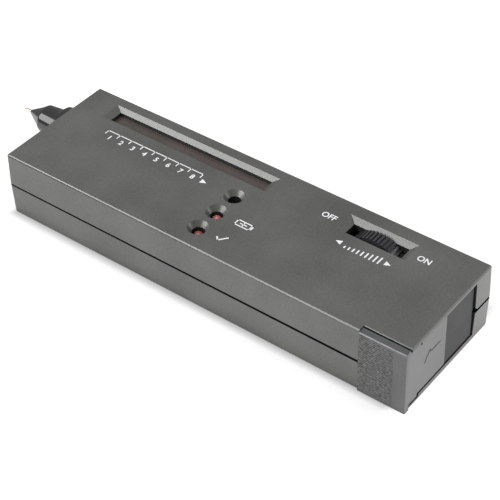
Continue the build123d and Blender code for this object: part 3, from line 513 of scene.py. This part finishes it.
lensLook = {
    "colours": ((0.108, 0.088, 0.081), (0.146, 0.122, 0.111)),
    "rough": (0.12, 0.2),
    "wide": 120,
    "values": {"IOR": 1.49, "Transmission Weight": 0.45},
}
lampRedLook = {
    "colours": ((0.26, 0.052, 0.052), (0.37, 0.098, 0.096)),
    "rough": (0.1, 0.2),
    "wide": 700,
    "values": {"IOR": 1.5, "Transmission Weight": 0.25, "Coat Weight": 0.5},
}
paleRedLook = {**lampRedLook, "colours": ((0.44, 0.115, 0.115), (0.60, 0.205, 0.200))}


def clearPlastic(name, look):
    material, tree, shader, place = startMaterial(name, **look["values"])
    wide = grain(tree, place, look["wide"], 3)
    colour = mixColour(tree, between(tree, wide, 0, 1), *look["colours"])
    tree.links.new(colour, shader.inputs["Base Color"])
    tree.links.new(between(tree, wide, *look["rough"]), shader.inputs["Roughness"])
    return material


smokedLens = clearPlastic("smokedLens", lensLook)
lampRed = clearPlastic("lampRed", lampRedLook)
paleRed = clearPlastic("paleRed", paleRedLook)

boardLook = {
    "track": 12.7 * mm,
    "row": 2.54 * mm,
    "gap": 0.35 * mm,
    "resist": ((0.045, 0.200, 0.075), (0.014, 0.085, 0.030)),
    "padGrid": 394.0,  # pads to the metre
    "padShare": 0.22,
    "tin": (0.62, 0.60, 0.55),
    "relief": 0.2,
    "depth": 0.03 * mm,
}


def makeBoardMask():
    # green resist over straight tracks, with tinned pads in a grid
    material, tree, shader, place = startMaterial("boardMask", Roughness=0.35)
    tracks = addNode(tree, "TexBrick", {"offset": 0.35, "offset_frequency": 3}, Vector=place,
                     Color1=(1, 1, 1, 1), Color2=(0.55, 0.55, 0.55, 1), Mortar=(0, 0, 0, 1),
                     Scale=1.0, Mortar_Size=boardLook["gap"], Mortar_Smooth=0.15,
                     Brick_Width=boardLook["track"], Row_Height=boardLook["row"])
    mask = mixColour(tree, tracks.outputs["Color"], *boardLook["resist"])
    pads = addNode(tree, "TexVoronoi", {"feature": "F1", "distance": "EUCLIDEAN"}, Vector=place,
                   Scale=boardLook["padGrid"], Randomness=0.0).outputs["Distance"]
    isPad = maths(tree, "LESS_THAN", pads, boardLook["padShare"])
    tree.links.new(mixColour(tree, isPad, mask, boardLook["tin"]), shader.inputs["Base Color"])
    tree.links.new(isPad, shader.inputs["Metallic"])
    bumped(tree, shader, tracks.outputs["Fac"], boardLook["relief"], boardLook["depth"])
    return material


boardMask = makeBoardMask()
print("finishes made")


# case shells: merged copies of the CAD shells, painted outside and bare inside

shellLook = {
    "skin": 1.25 * mm,
    "bevels": 1.95 * mm,
    "groove": 0.82 * mm,
    "grooveDepth": 0.3 * mm,
    "outerBand": 0.5 * mm,
    "foot": 0.5 * mm,
    "chamfer": 0.35 * mm,
    "ease": 0.2 * mm,
    "seamGap": 0.8 * mm,
    "seamRise": 0.2 * mm,  # the seam's dark line, painted shade in the groove, is thin at the probe and wider at the door
    "seamFall": -0.135 * mm,
}


def shellFinish(face):  # 0 painted, 1 bare, 2 painted shade in the depth of the seam, 3 painted shade on the strip under the front chamfer
    centre, normal = face.center, face.normal
    if normal.z > 0.2 and centre.z > caseTop - shellLook["bevels"]:
        onStrip = normal.y < -0.8 and normal.z < 0.6 and centre.y < -caseSide + shellLook["chamfer"]
        return 3 if onStrip else 0
    if normal.z < -0.5 and centre.z < shellLook["foot"]:
        return 0
    edgeX = abs(centre.x) - (caseEnd - shellLook["skin"])
    edgeY = abs(centre.y) - (caseSide - shellLook["skin"])
    outward = Vector((math.copysign(max(edgeX, 0), centre.x), math.copysign(max(edgeY, 0), centre.y), 0))
    if outward.length == 0:
        return 1
    inGroove = seam - shellLook["groove"] < centre.z < seam
    inset = max(edgeX, edgeY) < shellLook["skin"] - shellLook["grooveDepth"]
    upright = outward.normalized().dot(normal) >= 0.5
    if inGroove and (inset or not upright):
        return 2
    return 0 if upright else 1


def easeFrontEdge(obj):
    # the edge under the front chamfer becomes a narrow strip
    level = caseTop - shellLook["chamfer"]
    pick(obj)
    bpy.ops.object.mode_set(mode="EDIT")
    bpy.ops.mesh.select_all(action="DESELECT")
    bpy.ops.object.mode_set(mode="OBJECT")
    for edge in obj.data.edges:
        ends = [obj.data.vertices[i].co for i in edge.vertices]
        inFront = all(end.y < shellLook["chamfer"] - caseSide for end in ends)
        edge.select = inFront and all(abs(end.z - level) < hair for end in ends)
    bpy.ops.object.mode_set(mode="EDIT")
    bpy.ops.mesh.select_mode(type="EDGE")
    bpy.ops.mesh.bevel(offset=shellLook["ease"], segments=1, affect="EDGES")
    bpy.ops.mesh.region_to_loop()
    bpy.ops.mesh.mark_sharp()
    bpy.ops.object.mode_set(mode="OBJECT")


def skinOf(nodeName, name, finishOf):
    made = bpy.data.objects.new(name, nodes[nodeName].data.copy())
    bpy.context.scene.collection.objects.link(made)
    pick(made)
    bpy.ops.mesh.customdata_custom_splitnormals_clear()
    bpy.ops.object.mode_set(mode="EDIT")
    bpy.ops.mesh.select_all(action="SELECT")
    bpy.ops.mesh.remove_doubles(threshold=1e-6)
    bpy.ops.object.mode_set(mode="OBJECT")
    if nodeName == "top_shell":
        easeFrontEdge(made)
    smoothBy(made)
    made.data.materials.clear()
    for face in made.data.polygons:
        face.material_index = finishOf(face)
    return made


def taperSeam(obj):
    level = seam - shellLook["seamGap"]
    for vertex in obj.data.vertices:
        inset = max(abs(vertex.co.x) - caseEnd, abs(vertex.co.y) - caseSide)
        if inset > -shellLook["outerBand"] and abs(vertex.co.z - level) < hair:
            share = (vertex.co.x + caseEnd) / (2 * caseEnd)
            vertex.co.z += shellLook["seamRise"] + share * (shellLook["seamFall"] - shellLook["seamRise"])


shellFinishes = (graphitePaint, barePlastic, seamShade, shadedStripPaint)
for nodeName, name in (("top_shell", "topShellSkin"), ("bottom_shell", "bottomShellSkin")):
    skin = skinOf(nodeName, name, shellFinish)
    taperSeam(skin)
    finishPiece(skin, "case", shellFinishes, (nodeName,))
print("case shells skinned")


# battery door: painted outside, ribbed grip, dark tongue

doorLook = {
    "plate": 1.05 * mm,
    "wall": 1.75 * mm,
    "roof": 1.0 * mm,
    "lipDrop": 0.9 * mm,
    "lipDepth": 2.2 * mm,
    "plateEnd": 18.25 * mm,
    "gripLength": 10.2 * mm,
    "gripBottom": 1.15 * mm,
    "gripTop": 1.0 * mm,
    "gripDepth": 0.45 * mm,
    "plateDrop": 1.05 * mm,
    "plateRise": 0.15 * mm,
    "lean": 0.2 * mm,
    "leanFrom": 0.1 * mm,
    "notch": -13.6 * mm,
    "notchSize": 0.6 * mm,
}
doorLow, doorHigh = bounds("battery_door")
plateInside = doorHigh.x - doorLook["plate"]
plateTop = caseTop - doorLook["plateDrop"]


def doorFinish(face):  # 0 front, 1 grip, 2 dark panel, 3 bare inside and painted shade in the notch, 4 lip in painted shade, 5 ridge with a painted highlight, 6 end plate painted lighter for the light on it
    centre, normal = face.center, face.normal
    depth = centre.y - doorLow.y  # from the door's front
    onLip = depth < doorLook["lipDepth"] and centre.z > caseTop - doorLook["lipDrop"]
    if onLip and normal.z > 0.3:
        return 4 if normal.z > 0.96 else 5
    # the notch's inside takes the bare dark finish as painted shade
    inNotch = abs(centre.y - doorLook["notch"]) < doorLook["notchSize"] and centre.x > plateInside
    if inNotch and normal.x < 0.5 and -doorLook["notchSize"] < centre.z - plateTop < -hair:
        return 3
    pastPlate = depth > doorLook["plateEnd"]
    if pastPlate and centre.x > plateInside + hair:
        return 2
    behindWall = depth > doorLook["wall"]
    if behindWall and centre.x < plateInside + hair and centre.z < caseTop - doorLook["roof"]:
        return 3
    if normal.z < -0.5 or normal.y > 0.5 and not pastPlate:
        return 3 if behindWall else 0
    if normal.x > 0.7:
        return 6
    inGrip = (centre.x < doorLow.x + doorLook["gripLength"] and depth < doorLook["gripDepth"]
              and doorLook["gripBottom"] < centre.z < caseTop - doorLook["gripTop"])
    return 1 if inGrip and normal.y < -0.2 else 0


def leanIn(obj):  # the end plate leans in towards its top, as the case does
    for vertex in obj.data.vertices:
        if vertex.co.x > plateInside + doorLook["leanFrom"]:
            vertex.co.x -= doorLook["lean"] * max(0, vertex.co.z - doorLow.z) / (doorHigh.z - doorLow.z)


door = skinOf("battery_door", "batteryDoorSkin", doorFinish)
for vertex in door.data.vertices:  # the plate meets the strip above it
    if vertex.co.x > plateInside and abs(vertex.co.z - plateTop) < hair:
        vertex.co.z += doorLook["plateRise"]
leanIn(door)
doorFinishes = (doorPlastic, gripShadedPaint, tonguePlastic, barePlastic, shadedLipPlastic, ridgeHighlight, litPlatePlastic)
finishPiece(door, "door", doorFinishes, ("battery_door",))

# arrow on the door's end plate, which shows the way it slides, its lines coloured with painted shade
arrowLook = {
    "tip": (-11.7 * mm, 11.4 * mm),
    "barb": (-9.4 * mm, 14.2 * mm),
    "neck": (-8.9 * mm, 13.3 * mm),
    "tail": (-4.8 * mm, 13.3 * mm),
    "width": 0.32 * mm,
    "rise": 0.05 * mm,
}


def stroke(name, first, last, width, plane, rise):
    # a thin bar between two points of a face; plane gives the face's level
    a, b = Vector((*first, 0)), Vector((*last, 0))
    made = block(name, (-width / 2, -width / 2, -rise), ((b - a).length + width / 2, width / 2, rise))
    made.rotation_euler = (0, 0, math.atan2(b.y - a.y, b.x - a.x))
    made.location = a
    settle(made)
    if plane[0] == "end":  # the drawing's x and y become the object's y and z
        made.rotation_euler = (math.radians(90), 0, math.radians(90))
        made.location = (plane[1], 0, 0)
    else:
        made.location = (0, 0, plane[1])
    return settle(made)


def arrowLine(name, start, end):
    return stroke(name, arrowLook[start], arrowLook[end], arrowLook["width"], ("end", doorHigh.x),
                  arrowLook["rise"])


arrow = joined("doorArrow", [
    arrowLine("arrowBarb", "tip", "barb"),
    arrowLine("arrowNeck", "barb", "neck"),
    arrowLine("arrowTail", "neck", "tail"),
])
leanIn(arrow)
finishPiece(arrow, "door", (shadedArrowLine,))
print("door dressed")


# printing on the top face

printRise = 0.02 * mm


def topLine(name, first, last, width):
    return stroke(name, first, last, width, ("top", caseTop), printRise)


scaleLook = {
    "left": -50.55 * mm,
    "right": -16.1 * mm,
    "line": 5.47 * mm,
    "tickEnd": 4.0 * mm,
    "count": 8,
    "width": 0.30 * mm,
    "digitSize": 2.45 * mm,
    "digitMiddle": 2.92 * mm,
    "digitShift": 0.2 * mm,
    "digitBold": 0.05 * mm,
    "arrowTip": (-13.1 * mm, 2.95 * mm),
    "arrowBack": -15.0 * mm,
    "arrowHalf": 0.85 * mm,
}


def printedText(name, text, size, middle, bold, width=1.0):
    bpy.ops.object.text_add(location=(0, 0, 0))
    made = bpy.context.object
    made.name = name
    made.data.body = text
    made.data.size = size
    made.data.align_x = "CENTER"
    made.data.align_y = "CENTER"
    made.data.offset = bold
    made.data.extrude = printRise
    made.data.resolution_u = 4
    pick(made)
    bpy.ops.object.convert(target="MESH")
    made.scale.x = width
    made.location = (middle[0], middle[1], caseTop)
    return settle(made)


def printedArrow(name, tip, back, halfWidth):
    # a solid triangle that points along x
    bpy.ops.mesh.primitive_circle_add(vertices=3, radius=1, fill_type="NGON", location=(0, 0, 0))
    made = bpy.context.object
    made.name = name
    low = min(v.co.x for v in made.data.vertices)
    wide = max(v.co.x for v in made.data.vertices) - low
    tall = max(v.co.y for v in made.data.vertices)
    base = min(v.co.y for v in made.data.vertices)
    for v in made.data.vertices:
        along = (v.co.y - base) / (tall - base)
        across = (v.co.x - low) / wide - 0.5
        v.co = (back + along * (tip[0] - back), tip[1] + 2 * across * halfWidth, 0)
    bpy.ops.object.mode_set(mode="EDIT")
    bpy.ops.mesh.select_all(action="SELECT")
    bpy.ops.mesh.extrude_region_move(TRANSFORM_OT_translate={"value": (0, 0, 2 * printRise)})
    bpy.ops.object.mode_set(mode="OBJECT")
    made.location = (0, 0, caseTop - printRise)
    settle(made)
    return closeUp(made)


step = (scaleLook["right"] - scaleLook["left"]) / scaleLook["count"]
marks = [topLine("scaleLine", (scaleLook["left"], scaleLook["line"]),
                 (scaleLook["right"], scaleLook["line"]), scaleLook["width"])]
for k in range(scaleLook["count"] + 1):
    x = scaleLook["left"] + k * step
    marks.append(topLine(f"scaleTick{k}", (x, scaleLook["line"]), (x, scaleLook["tickEnd"]),
                         scaleLook["width"]))
for k in range(scaleLook["count"]):
    x = scaleLook["left"] + (k + 0.5) * step + scaleLook["digitShift"]
    marks.append(printedText(f"digit{k + 1}", str(k + 1), scaleLook["digitSize"],
                             (x, scaleLook["digitMiddle"]), scaleLook["digitBold"]))
marks.append(printedArrow("scaleArrow", scaleLook["arrowTip"], scaleLook["arrowBack"],
                          scaleLook["arrowHalf"]))
scalePrint = joined("scalePrint", marks)
finishPiece(scalePrint, "case", (printInk,))

levelLook = {
    "y": 4.3 * mm,
    "left": 28.9 * mm,
    "right": 45.9 * mm,
    "arrow": 1.75 * mm,
    "half": 0.83 * mm,
    "bars": 9,
    "barsInset": 3.325 * mm,
    "barWidth": 0.42 * mm,
    "low": 0.5 * mm,
    "high": 2.3 * mm,
    "wordSize": 2.8 * mm,
    "wordWidth": 0.92,
    "wordBold": 0.04 * mm,
    "off": (22.0 * mm, 11.1 * mm),
    "on": (51.7 * mm, 11.0 * mm),
}


def levelArrow(name, side, inwards):
    tip = levelLook[side]
    return printedArrow(name, (tip, levelLook["y"]), tip + inwards * levelLook["arrow"],
                        levelLook["half"])


def switchWord(name, text, side):
    return printedText(name, text, levelLook["wordSize"], levelLook[side],
                       levelLook["wordBold"], levelLook["wordWidth"])


levelMarks = [
    levelArrow("levelLess", "left", 1),
    levelArrow("levelMore", "right", -1),
    switchWord("offWord", "OFF", "off"),
    switchWord("onWord", "ON", "on"),
]
barsLeft = levelLook["left"] + levelLook["barsInset"]
barsRight = levelLook["right"] - levelLook["barsInset"]
foot = levelLook["y"] - levelLook["high"] / 2
for k in range(levelLook["bars"]):
    share = k / (levelLook["bars"] - 1)
    tall = levelLook["low"] + (levelLook["high"] - levelLook["low"]) * share
    x = barsLeft + (barsRight - barsLeft) * share
    levelMarks.append(topLine(f"levelBar{k}", (x, foot), (x, foot + tall), levelLook["barWidth"]))
levelPrint = joined("levelPrint", levelMarks)
finishPiece(levelPrint, "case", (printInk,))

# plain signs beside the two indicator lamps: a cell for the one, a tick for the other
signLook = {
    "cell": (3.4 * mm, -4.9 * mm),
    "cellSize": (4.6 * mm, 2.0 * mm),
    "poleGap": 0.35 * mm,
    "poleHalf": 0.35 * mm,
    "poleWidth": 0.6 * mm,
    "plusShares": (0.22, 0.4),
    "width": 0.34 * mm,
    "tick": (3.0 * mm, -12.7 * mm),
    "tickSize": 2.4 * mm,
    "tickShares": ((0.0, 0.0), (0.35, -0.4), (1.1, 0.5)),
    "tickWidth": 0.442 * mm,
}


def cellMarks():
    left, middle = signLook["cell"]
    wide, tall = signLook["cellSize"]
    right, low, high = left + wide, middle - tall / 2, middle + tall / 2
    corners = [(left, low), (right, low), (right, high), (left, high)]
    made = [topLine(f"cellSide{k}", corners[k], corners[(k + 1) % 4], signLook["width"])
            for k in range(4)]
    pole, reach = right + signLook["poleGap"], signLook["poleHalf"]
    made.append(topLine("cellPole", (pole, middle - reach), (pole, middle + reach), signLook["poleWidth"]))
    centre = left + wide / 2
    across, upward = signLook["plusShares"][0] * wide, signLook["plusShares"][1] * tall
    made.append(topLine("cellPlusA", (centre - across, middle), (centre + across, middle), signLook["width"]))
    made.append(topLine("cellPlusB", (centre, middle - upward), (centre, middle + upward), signLook["width"]))
    return made


def tickMarks():
    x, y = signLook["tick"]
    size = signLook["tickSize"]
    points = [(x + along * size, y + up * size) for along, up in signLook["tickShares"]]
    return [topLine("tickShort", points[0], points[1], signLook["tickWidth"]),
            topLine("tickLong", points[1], points[2], signLook["tickWidth"])]


signPrint = joined("signPrint", cellMarks() + tickMarks())
finishPiece(signPrint, "case", (printInk,))
print("printing done")


# probe: turned pieces in place of the faceted CAD ones

probeLow, probeHigh = bounds("probe_collar")
probeY = (probeLow.y + probeHigh.y) / 2
probeZ = (probeLow.z + probeHigh.z) / 2
probeStart = (probeHigh.x, probeY, probeZ)
noseStart = (bounds("probe_nose")[1].x, probeY, probeZ)
tipLow, tipHigh = bounds("probe_tip")
outwards = (-1, 0, 0)

collarLook = {
    "radius": 6.5 * mm,
    "length": 5.3 * mm,
    "lip": 0.5 * mm,
    "bore": 4.1 * mm,
    "round": 0.15 * mm,
    "sides": 96,
}
collar = turned("probeCollarSkin", [
    (0, collarLook["bore"]),
    (sliver, collarLook["radius"] - collarLook["lip"]),
    (collarLook["lip"], collarLook["radius"]),
    (collarLook["length"] - collarLook["lip"], collarLook["radius"]),
    (collarLook["length"], collarLook["radius"] - collarLook["lip"]),
    (collarLook["length"] + sliver, collarLook["bore"]),
], probeStart, outwards, collarLook["sides"], collarLook["round"])
finishPiece(collar, "case", (probePlastic,), ("probe_collar",))

noseLook = {
    "base": 5.05 * mm,
    "inner": 4.25 * mm,
    "shoulder": 4.45 * mm,
    "body": 6.7 * mm,
    "cone": 6.5 * mm,
    "crease": ((-0.4 * mm, 0.025 * mm), (-0.08 * mm, -0.02 * mm),  # reach and radius from the shoulder
               (0.24 * mm, -0.15 * mm), (0.6 * mm, -0.34 * mm)),
    "end": ((-0.3 * mm, 0.8 * mm), (-0.08 * mm, 0.68 * mm),  # reach from the end, and radius
            (0.0, 0.56 * mm), (-0.4 * mm, 0.56 * mm)),
    "sides": 96,
}
noseLength = noseLook["body"] + noseLook["cone"]
nose = turned("probeNoseSkin", [
    (0, noseLook["inner"]),
    (sliver, noseLook["base"]),
    *((noseLook["body"] + reach, noseLook["shoulder"] + change) for reach, change in noseLook["crease"]),
    *((noseLength + reach, radius) for reach, radius in noseLook["end"]),
], noseStart, outwards, noseLook["sides"])
finishPiece(nose, "case", (probePlastic,), ("probe_nose",))

tipLook = {
    "radius": 0.45 * mm,
    "flange": 1.5 * mm,
    "flangeThick": 0.9 * mm,
    "taper": 0.9 * mm,
    "point": 0.1 * mm,
    "pointRadius": 0.192 * mm,
    "end": 0.12 * mm,
    "sides": 48,
}
tipLength = tipHigh.x - tipLow.x
tip = turned("probeTipSkin", [
    (0, tipLook["flange"]),
    (tipLook["flangeThick"], tipLook["flange"]),
    (tipLook["flangeThick"] + sliver, tipLook["radius"]),
    (tipLength - tipLook["taper"], tipLook["radius"]),
    (tipLength - tipLook["point"], tipLook["pointRadius"]),
    (tipLength, tipLook["end"]),
    (tipLength, 0),
], (tipHigh.x, probeY, probeZ), outwards, tipLook["sides"])
finishPiece(tip, "tip", (copperMetal,), ("probe_tip",))
print("probe turned")


# indicator lamps: domed bodies with their flange

lampLook = {
    "dome": 1.5 * mm,
    "height": 4.5 * mm,
    "flange": 1.7 * mm,
    "flangeThick": 0.8 * mm,
    "steps": 8,
    "sides": 48,
    "legSpread": 1.1 * mm,
    "legHalf": 0.22 * mm,
}
straight = lampLook["height"] - lampLook["dome"]
lampProfile = [
    (0, lampLook["flange"]),
    (lampLook["flangeThick"], lampLook["flange"]),
    (lampLook["flangeThick"] + sliver, lampLook["dome"]),
    (straight, lampLook["dome"]),
]
for k in range(1, lampLook["steps"]):
    angle = math.pi / 2 * k / lampLook["steps"]
    lampProfile.append((straight + lampLook["dome"] * math.sin(angle), lampLook["dome"] * math.cos(angle)))
lampProfile.append((lampLook["height"], 0))

lampSkins = (("battery_lamp", "batteryLampSkin", paleRed), ("ready_lamp", "readyLampSkin", lampRed))
for nodeName, name, red in lampSkins:
    low, high = bounds(nodeName)
    middle = (low + high) / 2
    bodyLow = high.z - lampLook["height"]
    pieces = [turned(name, lampProfile, (middle.x, middle.y, bodyLow), (0, 0, 1), lampLook["sides"])]
    half = lampLook["legHalf"]
    for side in (-1, 1):
        x = middle.x + side * lampLook["legSpread"]
        pieces.append(block("lampLeg", (x - half, middle.y - half, low.z),
                            (x + half, middle.y + half, bodyLow)))
    lamp = joined(name, pieces)
    for face in lamp.data.polygons:
        face.material_index = 1 if face.center.z < bodyLow - hair else 0
    finishPiece(lamp, "case", (red, nickelPlate), (nodeName,))
print("lamps made")


# battery: a rolled-edge can in a plain printed jacket

batteryLow, batteryHigh = bounds("battery")
batteryLook = {
    "edge": 1.6 * mm,
    "rim": 0.35 * mm,
    "rimDrop": 0.15 * mm,
    "rimRound": 0.1 * mm,
    "band": 8.0 * mm,
    "dark": ((0.028, 0.032, 0.040), (0.042, 0.047, 0.058)),
    "light": ((0.42, 0.43, 0.44), (0.52, 0.53, 0.54)),
    "relief": 0.08,
    "depth": 0.03 * mm,
}


def makeJacket():
    material, tree, shader, place = startMaterial("batteryJacket", Metallic=0.5, Roughness=0.32)
    along = addNode(tree, "SeparateXYZ", Vector=place).outputs["X"]
    isBand = maths(tree, "GREATER_THAN", along, batteryHigh.x - batteryLook["band"])
    wide = grain(tree, place, 300, 3)
    dark = mixColour(tree, between(tree, wide, 0, 1), *batteryLook["dark"])
    light = mixColour(tree, between(tree, wide, 0, 1), *batteryLook["light"])
    tree.links.new(mixColour(tree, isBand, dark, light), shader.inputs["Base Color"])
    bumped(tree, shader, wide, batteryLook["relief"], batteryLook["depth"])
    return material


batteryJacket = makeJacket()
can = block("batteryCan", batteryLow, batteryHigh)
pick(can)
bpy.ops.object.mode_set(mode="EDIT")
bpy.ops.mesh.select_all(action="DESELECT")
bpy.ops.object.mode_set(mode="OBJECT")
for edge in can.data.edges:
    a, b = (can.data.vertices[i].co for i in edge.vertices)
    edge.select = abs(a.x - b.x) > batteryLook["edge"]
bpy.ops.object.mode_set(mode="EDIT")
bpy.ops.mesh.select_mode(type="EDGE")
bpy.ops.mesh.bevel(offset=batteryLook["edge"], segments=6, affect="EDGES")
bpy.ops.object.mode_set(mode="OBJECT")
for face in can.data.polygons:
    face.select = abs(face.normal.x) > 0.9
bpy.ops.object.mode_set(mode="EDIT")
bpy.ops.mesh.select_mode(type="FACE")
bpy.ops.mesh.inset(thickness=batteryLook["rim"], depth=0)
bpy.ops.mesh.inset(thickness=batteryLook["rimDrop"], depth=-batteryLook["rimDrop"])
bpy.ops.object.mode_set(mode="OBJECT")
modify(can, "BEVEL", width=batteryLook["rimRound"], segments=2, limit_method="ANGLE",
       angle_limit=math.radians(40))
smoothBy(can, 35)
finishPiece(can, "case", (batteryJacket,), ("battery",))

# foam pad on the inside of the door
padLook = {"cuts": 7, "crown": 0.35 * mm, "crownPower": 6, "round": 0.25 * mm}
foamLow, foamHigh = bounds("foam_pad")
foamPad = block("foamPadSkin", foamLow, foamHigh)
pick(foamPad)
bpy.ops.object.mode_set(mode="EDIT")
bpy.ops.mesh.select_all(action="SELECT")
bpy.ops.mesh.subdivide(number_cuts=padLook["cuts"])
bpy.ops.object.mode_set(mode="OBJECT")
foamMiddle = (foamLow + foamHigh) / 2
foamHalf = (foamHigh - foamLow) / 2
for vertex in foamPad.data.vertices:
    away = max(abs(vertex.co.y - foamMiddle.y) / foamHalf.y, abs(vertex.co.z - foamMiddle.z) / foamHalf.z)
    if vertex.co.x < foamMiddle.x:
        vertex.co.x += padLook["crown"] * away ** padLook["crownPower"]
modify(foamPad, "BEVEL", width=padLook["round"], segments=3, limit_method="ANGLE",
       angle_limit=math.radians(50))
smoothBy(foamPad, 60)
finishPiece(foamPad, "door", (foamRubber,), ("foam_pad",))
print("battery and foam made")


# finishes of the CAD nodes that stay as they are

plainFinishes = {
    "window_lens": smokedLens,
    "lamp_holder": barePlastic,
    "bar_lamps": lampRed,
    "circuit_board": boardMask,
    "lamp_spacers": nylon,
    "buzzer": chipEpoxy,
    "chips": chipEpoxy,
    "capacitors": capSleeve,
    "resistors": ceramic,
    "trimmers": trimmerBlue,
    "transistors": chipEpoxy,
    "wheel_pot": zincSteel,
    "probe_barrel": probePlastic,
    "probe_leads": blackRubber,
    "battery_terminals": nickelPlate,
    "battery_snap": blackRubber,
    "snap_contacts": nickelPlate,
    "red_lead": redRubber,
    "black_lead": blackRubber,
    "case_screws": zincSteel,
    "board_screws": zincSteel,
    "probe_spring": zincSteel,
    "thumbwheel": wheelPlastic,
    "wheel_shaft": zincSteel,
    "wheel_screw": zincSteel,
    "tip_carrier": nylon,
    "tip_heater": ceramic,
}
for nodeName, material in plainFinishes.items():
    dress(nodeName, material)
print("inner pieces dressed")


# floor, lights and world

floorLook = {
    "size": 4.0,
    "edge": -0.15,  # the paper ends here, so the cone mirrors the dark beyond it
    "dark": (0.74, 0.74, 0.74),
    "light": (0.78, 0.78, 0.78),
    "shade": (0, 2.3 * mm, 0.46, 1.0),  # painted shadow along the front's foot: the paper's share of its colour there
    # painted shadow at the feet of the two ends
    "shadeEnd": (-1 * mm, 1.5 * mm, 0.46, 1.0),
    "contact": (0, 2.5 * mm, 0.0, 0.24),  # glow over the distance from the case, low at its foot as a painted contact shadow
    "open": (15 * mm, 70 * mm, 0.24, 0.7),
    # more glow behind the case and beyond its end: painted light over the case's shadow, and beyond the end a
    # painted pool of light that the end face reflects
    "behind": (0, 7 * mm, 0.0, 0.76),
    "end": (-8 * mm, 1 * mm, 0.0, 1.0),
    "endFade": (4 * mm, 26 * mm, 1.0, 0.62),
}


def makeFloor():
    # the glow is for what the camera and the glossy surfaces see of the paper; it is low at the case's foot,
    # a painted contact shadow, and high behind the case and beyond its end, painted light
    material, tree, shader, place = startMaterial("floorPaper", Roughness=0.9)
    shader.inputs["Specular IOR Level"].default_value = 0.1
    wide = grain(tree, place, 30, 4)
    colour = mixColour(tree, between(tree, wide, 0, 1), floorLook["dark"], floorLook["light"])

    def ramp(name, value):
        fromLow, fromHigh, low, high = floorLook[name]
        return between(tree, value, low, high, fromLow, fromHigh)

    split = addNode(tree, "SeparateXYZ", Vector=place).outputs
    pastEnd = maths(tree, "SUBTRACT", split["X"], caseEnd)
    pastStart = maths(tree, "SUBTRACT", maths(tree, "MULTIPLY", split["X"], -1.0), caseEnd)
    pastFront = maths(tree, "SUBTRACT", maths(tree, "MULTIPLY", split["Y"], -1.0), caseSide)
    pastBack = maths(tree, "SUBTRACT", split["Y"], caseSide)
    shade = largest(tree, ramp("shade", pastFront), ramp("shadeEnd", pastEnd), ramp("shadeEnd", pastStart))
    tree.links.new(mixColour(tree, shade, (0, 0, 0), colour), shader.inputs["Base Color"])
    away = largest(tree, pastEnd, pastStart, pastFront)
    endLightPool = maths(tree, "MULTIPLY", ramp("end", pastEnd), ramp("endFade", pastEnd))
    glow = largest(tree, ramp("contact", away), ramp("open", away), ramp("behind", pastBack), endLightPool)
    path = addNode(tree, "LightPath").outputs
    seen = largest(tree, path["Is Camera Ray"], path["Is Glossy Ray"], path["Is Transmission Ray"])
    tree.links.new(maths(tree, "MULTIPLY", seen, glow), shader.inputs["Emission Strength"])
    shader.inputs["Emission Color"].default_value = (1, 1, 1, 1)
    return material


floorMiddle = floorLook["edge"] + floorLook["size"] / 2
bpy.ops.mesh.primitive_plane_add(size=floorLook["size"], location=(floorMiddle, 0, 0))
floor = settle(bpy.context.object)
floor.name = "floor"
floor.data.materials.append(makeFloor())

lights = {
    "frontSoftbox": {"place": (-0.56, -0.74, 0.67), "size": 0.58, "radiance": 5.0},
    "topSoftbox": {"place": (-0.05, -0.08, 0.98), "size": 0.72, "radiance": 2.6},
    "probeCard": {"place": (-0.766, -0.442, 0.379), "size": 0.42, "radiance": 5.0},
    "backCard": {"place": (0.657, 0.635, 0.417), "size": 0.34, "radiance": 3.3},
}
for name, look in lights.items():
    data = bpy.data.lights.new(name, "AREA")
    data.size = look["size"]
    data.energy = look["radiance"] * math.pi * look["size"] ** 2
    lamp = bpy.data.objects.new(name, data)
    lamp.location = look["place"]
    lamp.rotation_euler = (Vector((0, 0, 0.01)) - Vector(look["place"])).to_track_quat("-Z", "Y").to_euler()
    bpy.context.scene.collection.objects.link(lamp)

worldLook = {
    "horizon": 0.30,
    "zenith": 0.50,
    "low": 0.0,
    "high": 0.7,
    "left": 1.08,
    "right": 0.80,
    "span": (-0.7, 0.5),
}


def makeWorld():
    world = bpy.data.worlds.new("studio")
    bpy.context.scene.world = world
    world.use_nodes = True
    tree = world.node_tree
    back = tree.nodes["Background"]
    direction = addNode(tree, "TexCoord").outputs["Generated"]
    split = addNode(tree, "SeparateXYZ", Vector=direction).outputs
    height = between(tree, split["Z"], worldLook["horizon"], worldLook["zenith"],
                     worldLook["low"], worldLook["high"])
    side = between(tree, split["X"], worldLook["left"], worldLook["right"], *worldLook["span"])
    level = maths(tree, "MULTIPLY", height, side)
    path = addNode(tree, "LightPath")
    white = addNode(tree, "Mix", {"data_type": "FLOAT"})
    tree.links.new(path.outputs["Is Camera Ray"], white.inputs[0])
    tree.links.new(level, white.inputs[2])
    white.inputs[3].default_value = 1.0
    tree.links.new(white.outputs[0], back.inputs["Strength"])
    back.inputs["Color"].default_value = (1, 1, 1, 1)


makeWorld()

cameraLook = {
    "place": (0.196331, -0.241444, 0.280532),
    "turn": (48.49, 1.36, 37.38),
    "lens": 109.3,
    "sensor": 36,
}
cameraData = bpy.data.cameras.new("camera")
cameraData.lens = cameraLook["lens"]
cameraData.sensor_width = cameraLook["sensor"]
camera = bpy.data.objects.new("camera", cameraData)
camera.location = cameraLook["place"]
camera.rotation_euler = [math.radians(a) for a in cameraLook["turn"]]
bpy.context.scene.collection.objects.link(camera)
bpy.context.scene.camera = camera
bpy.context.scene.view_settings.view_transform = "Standard"
print("stage set")
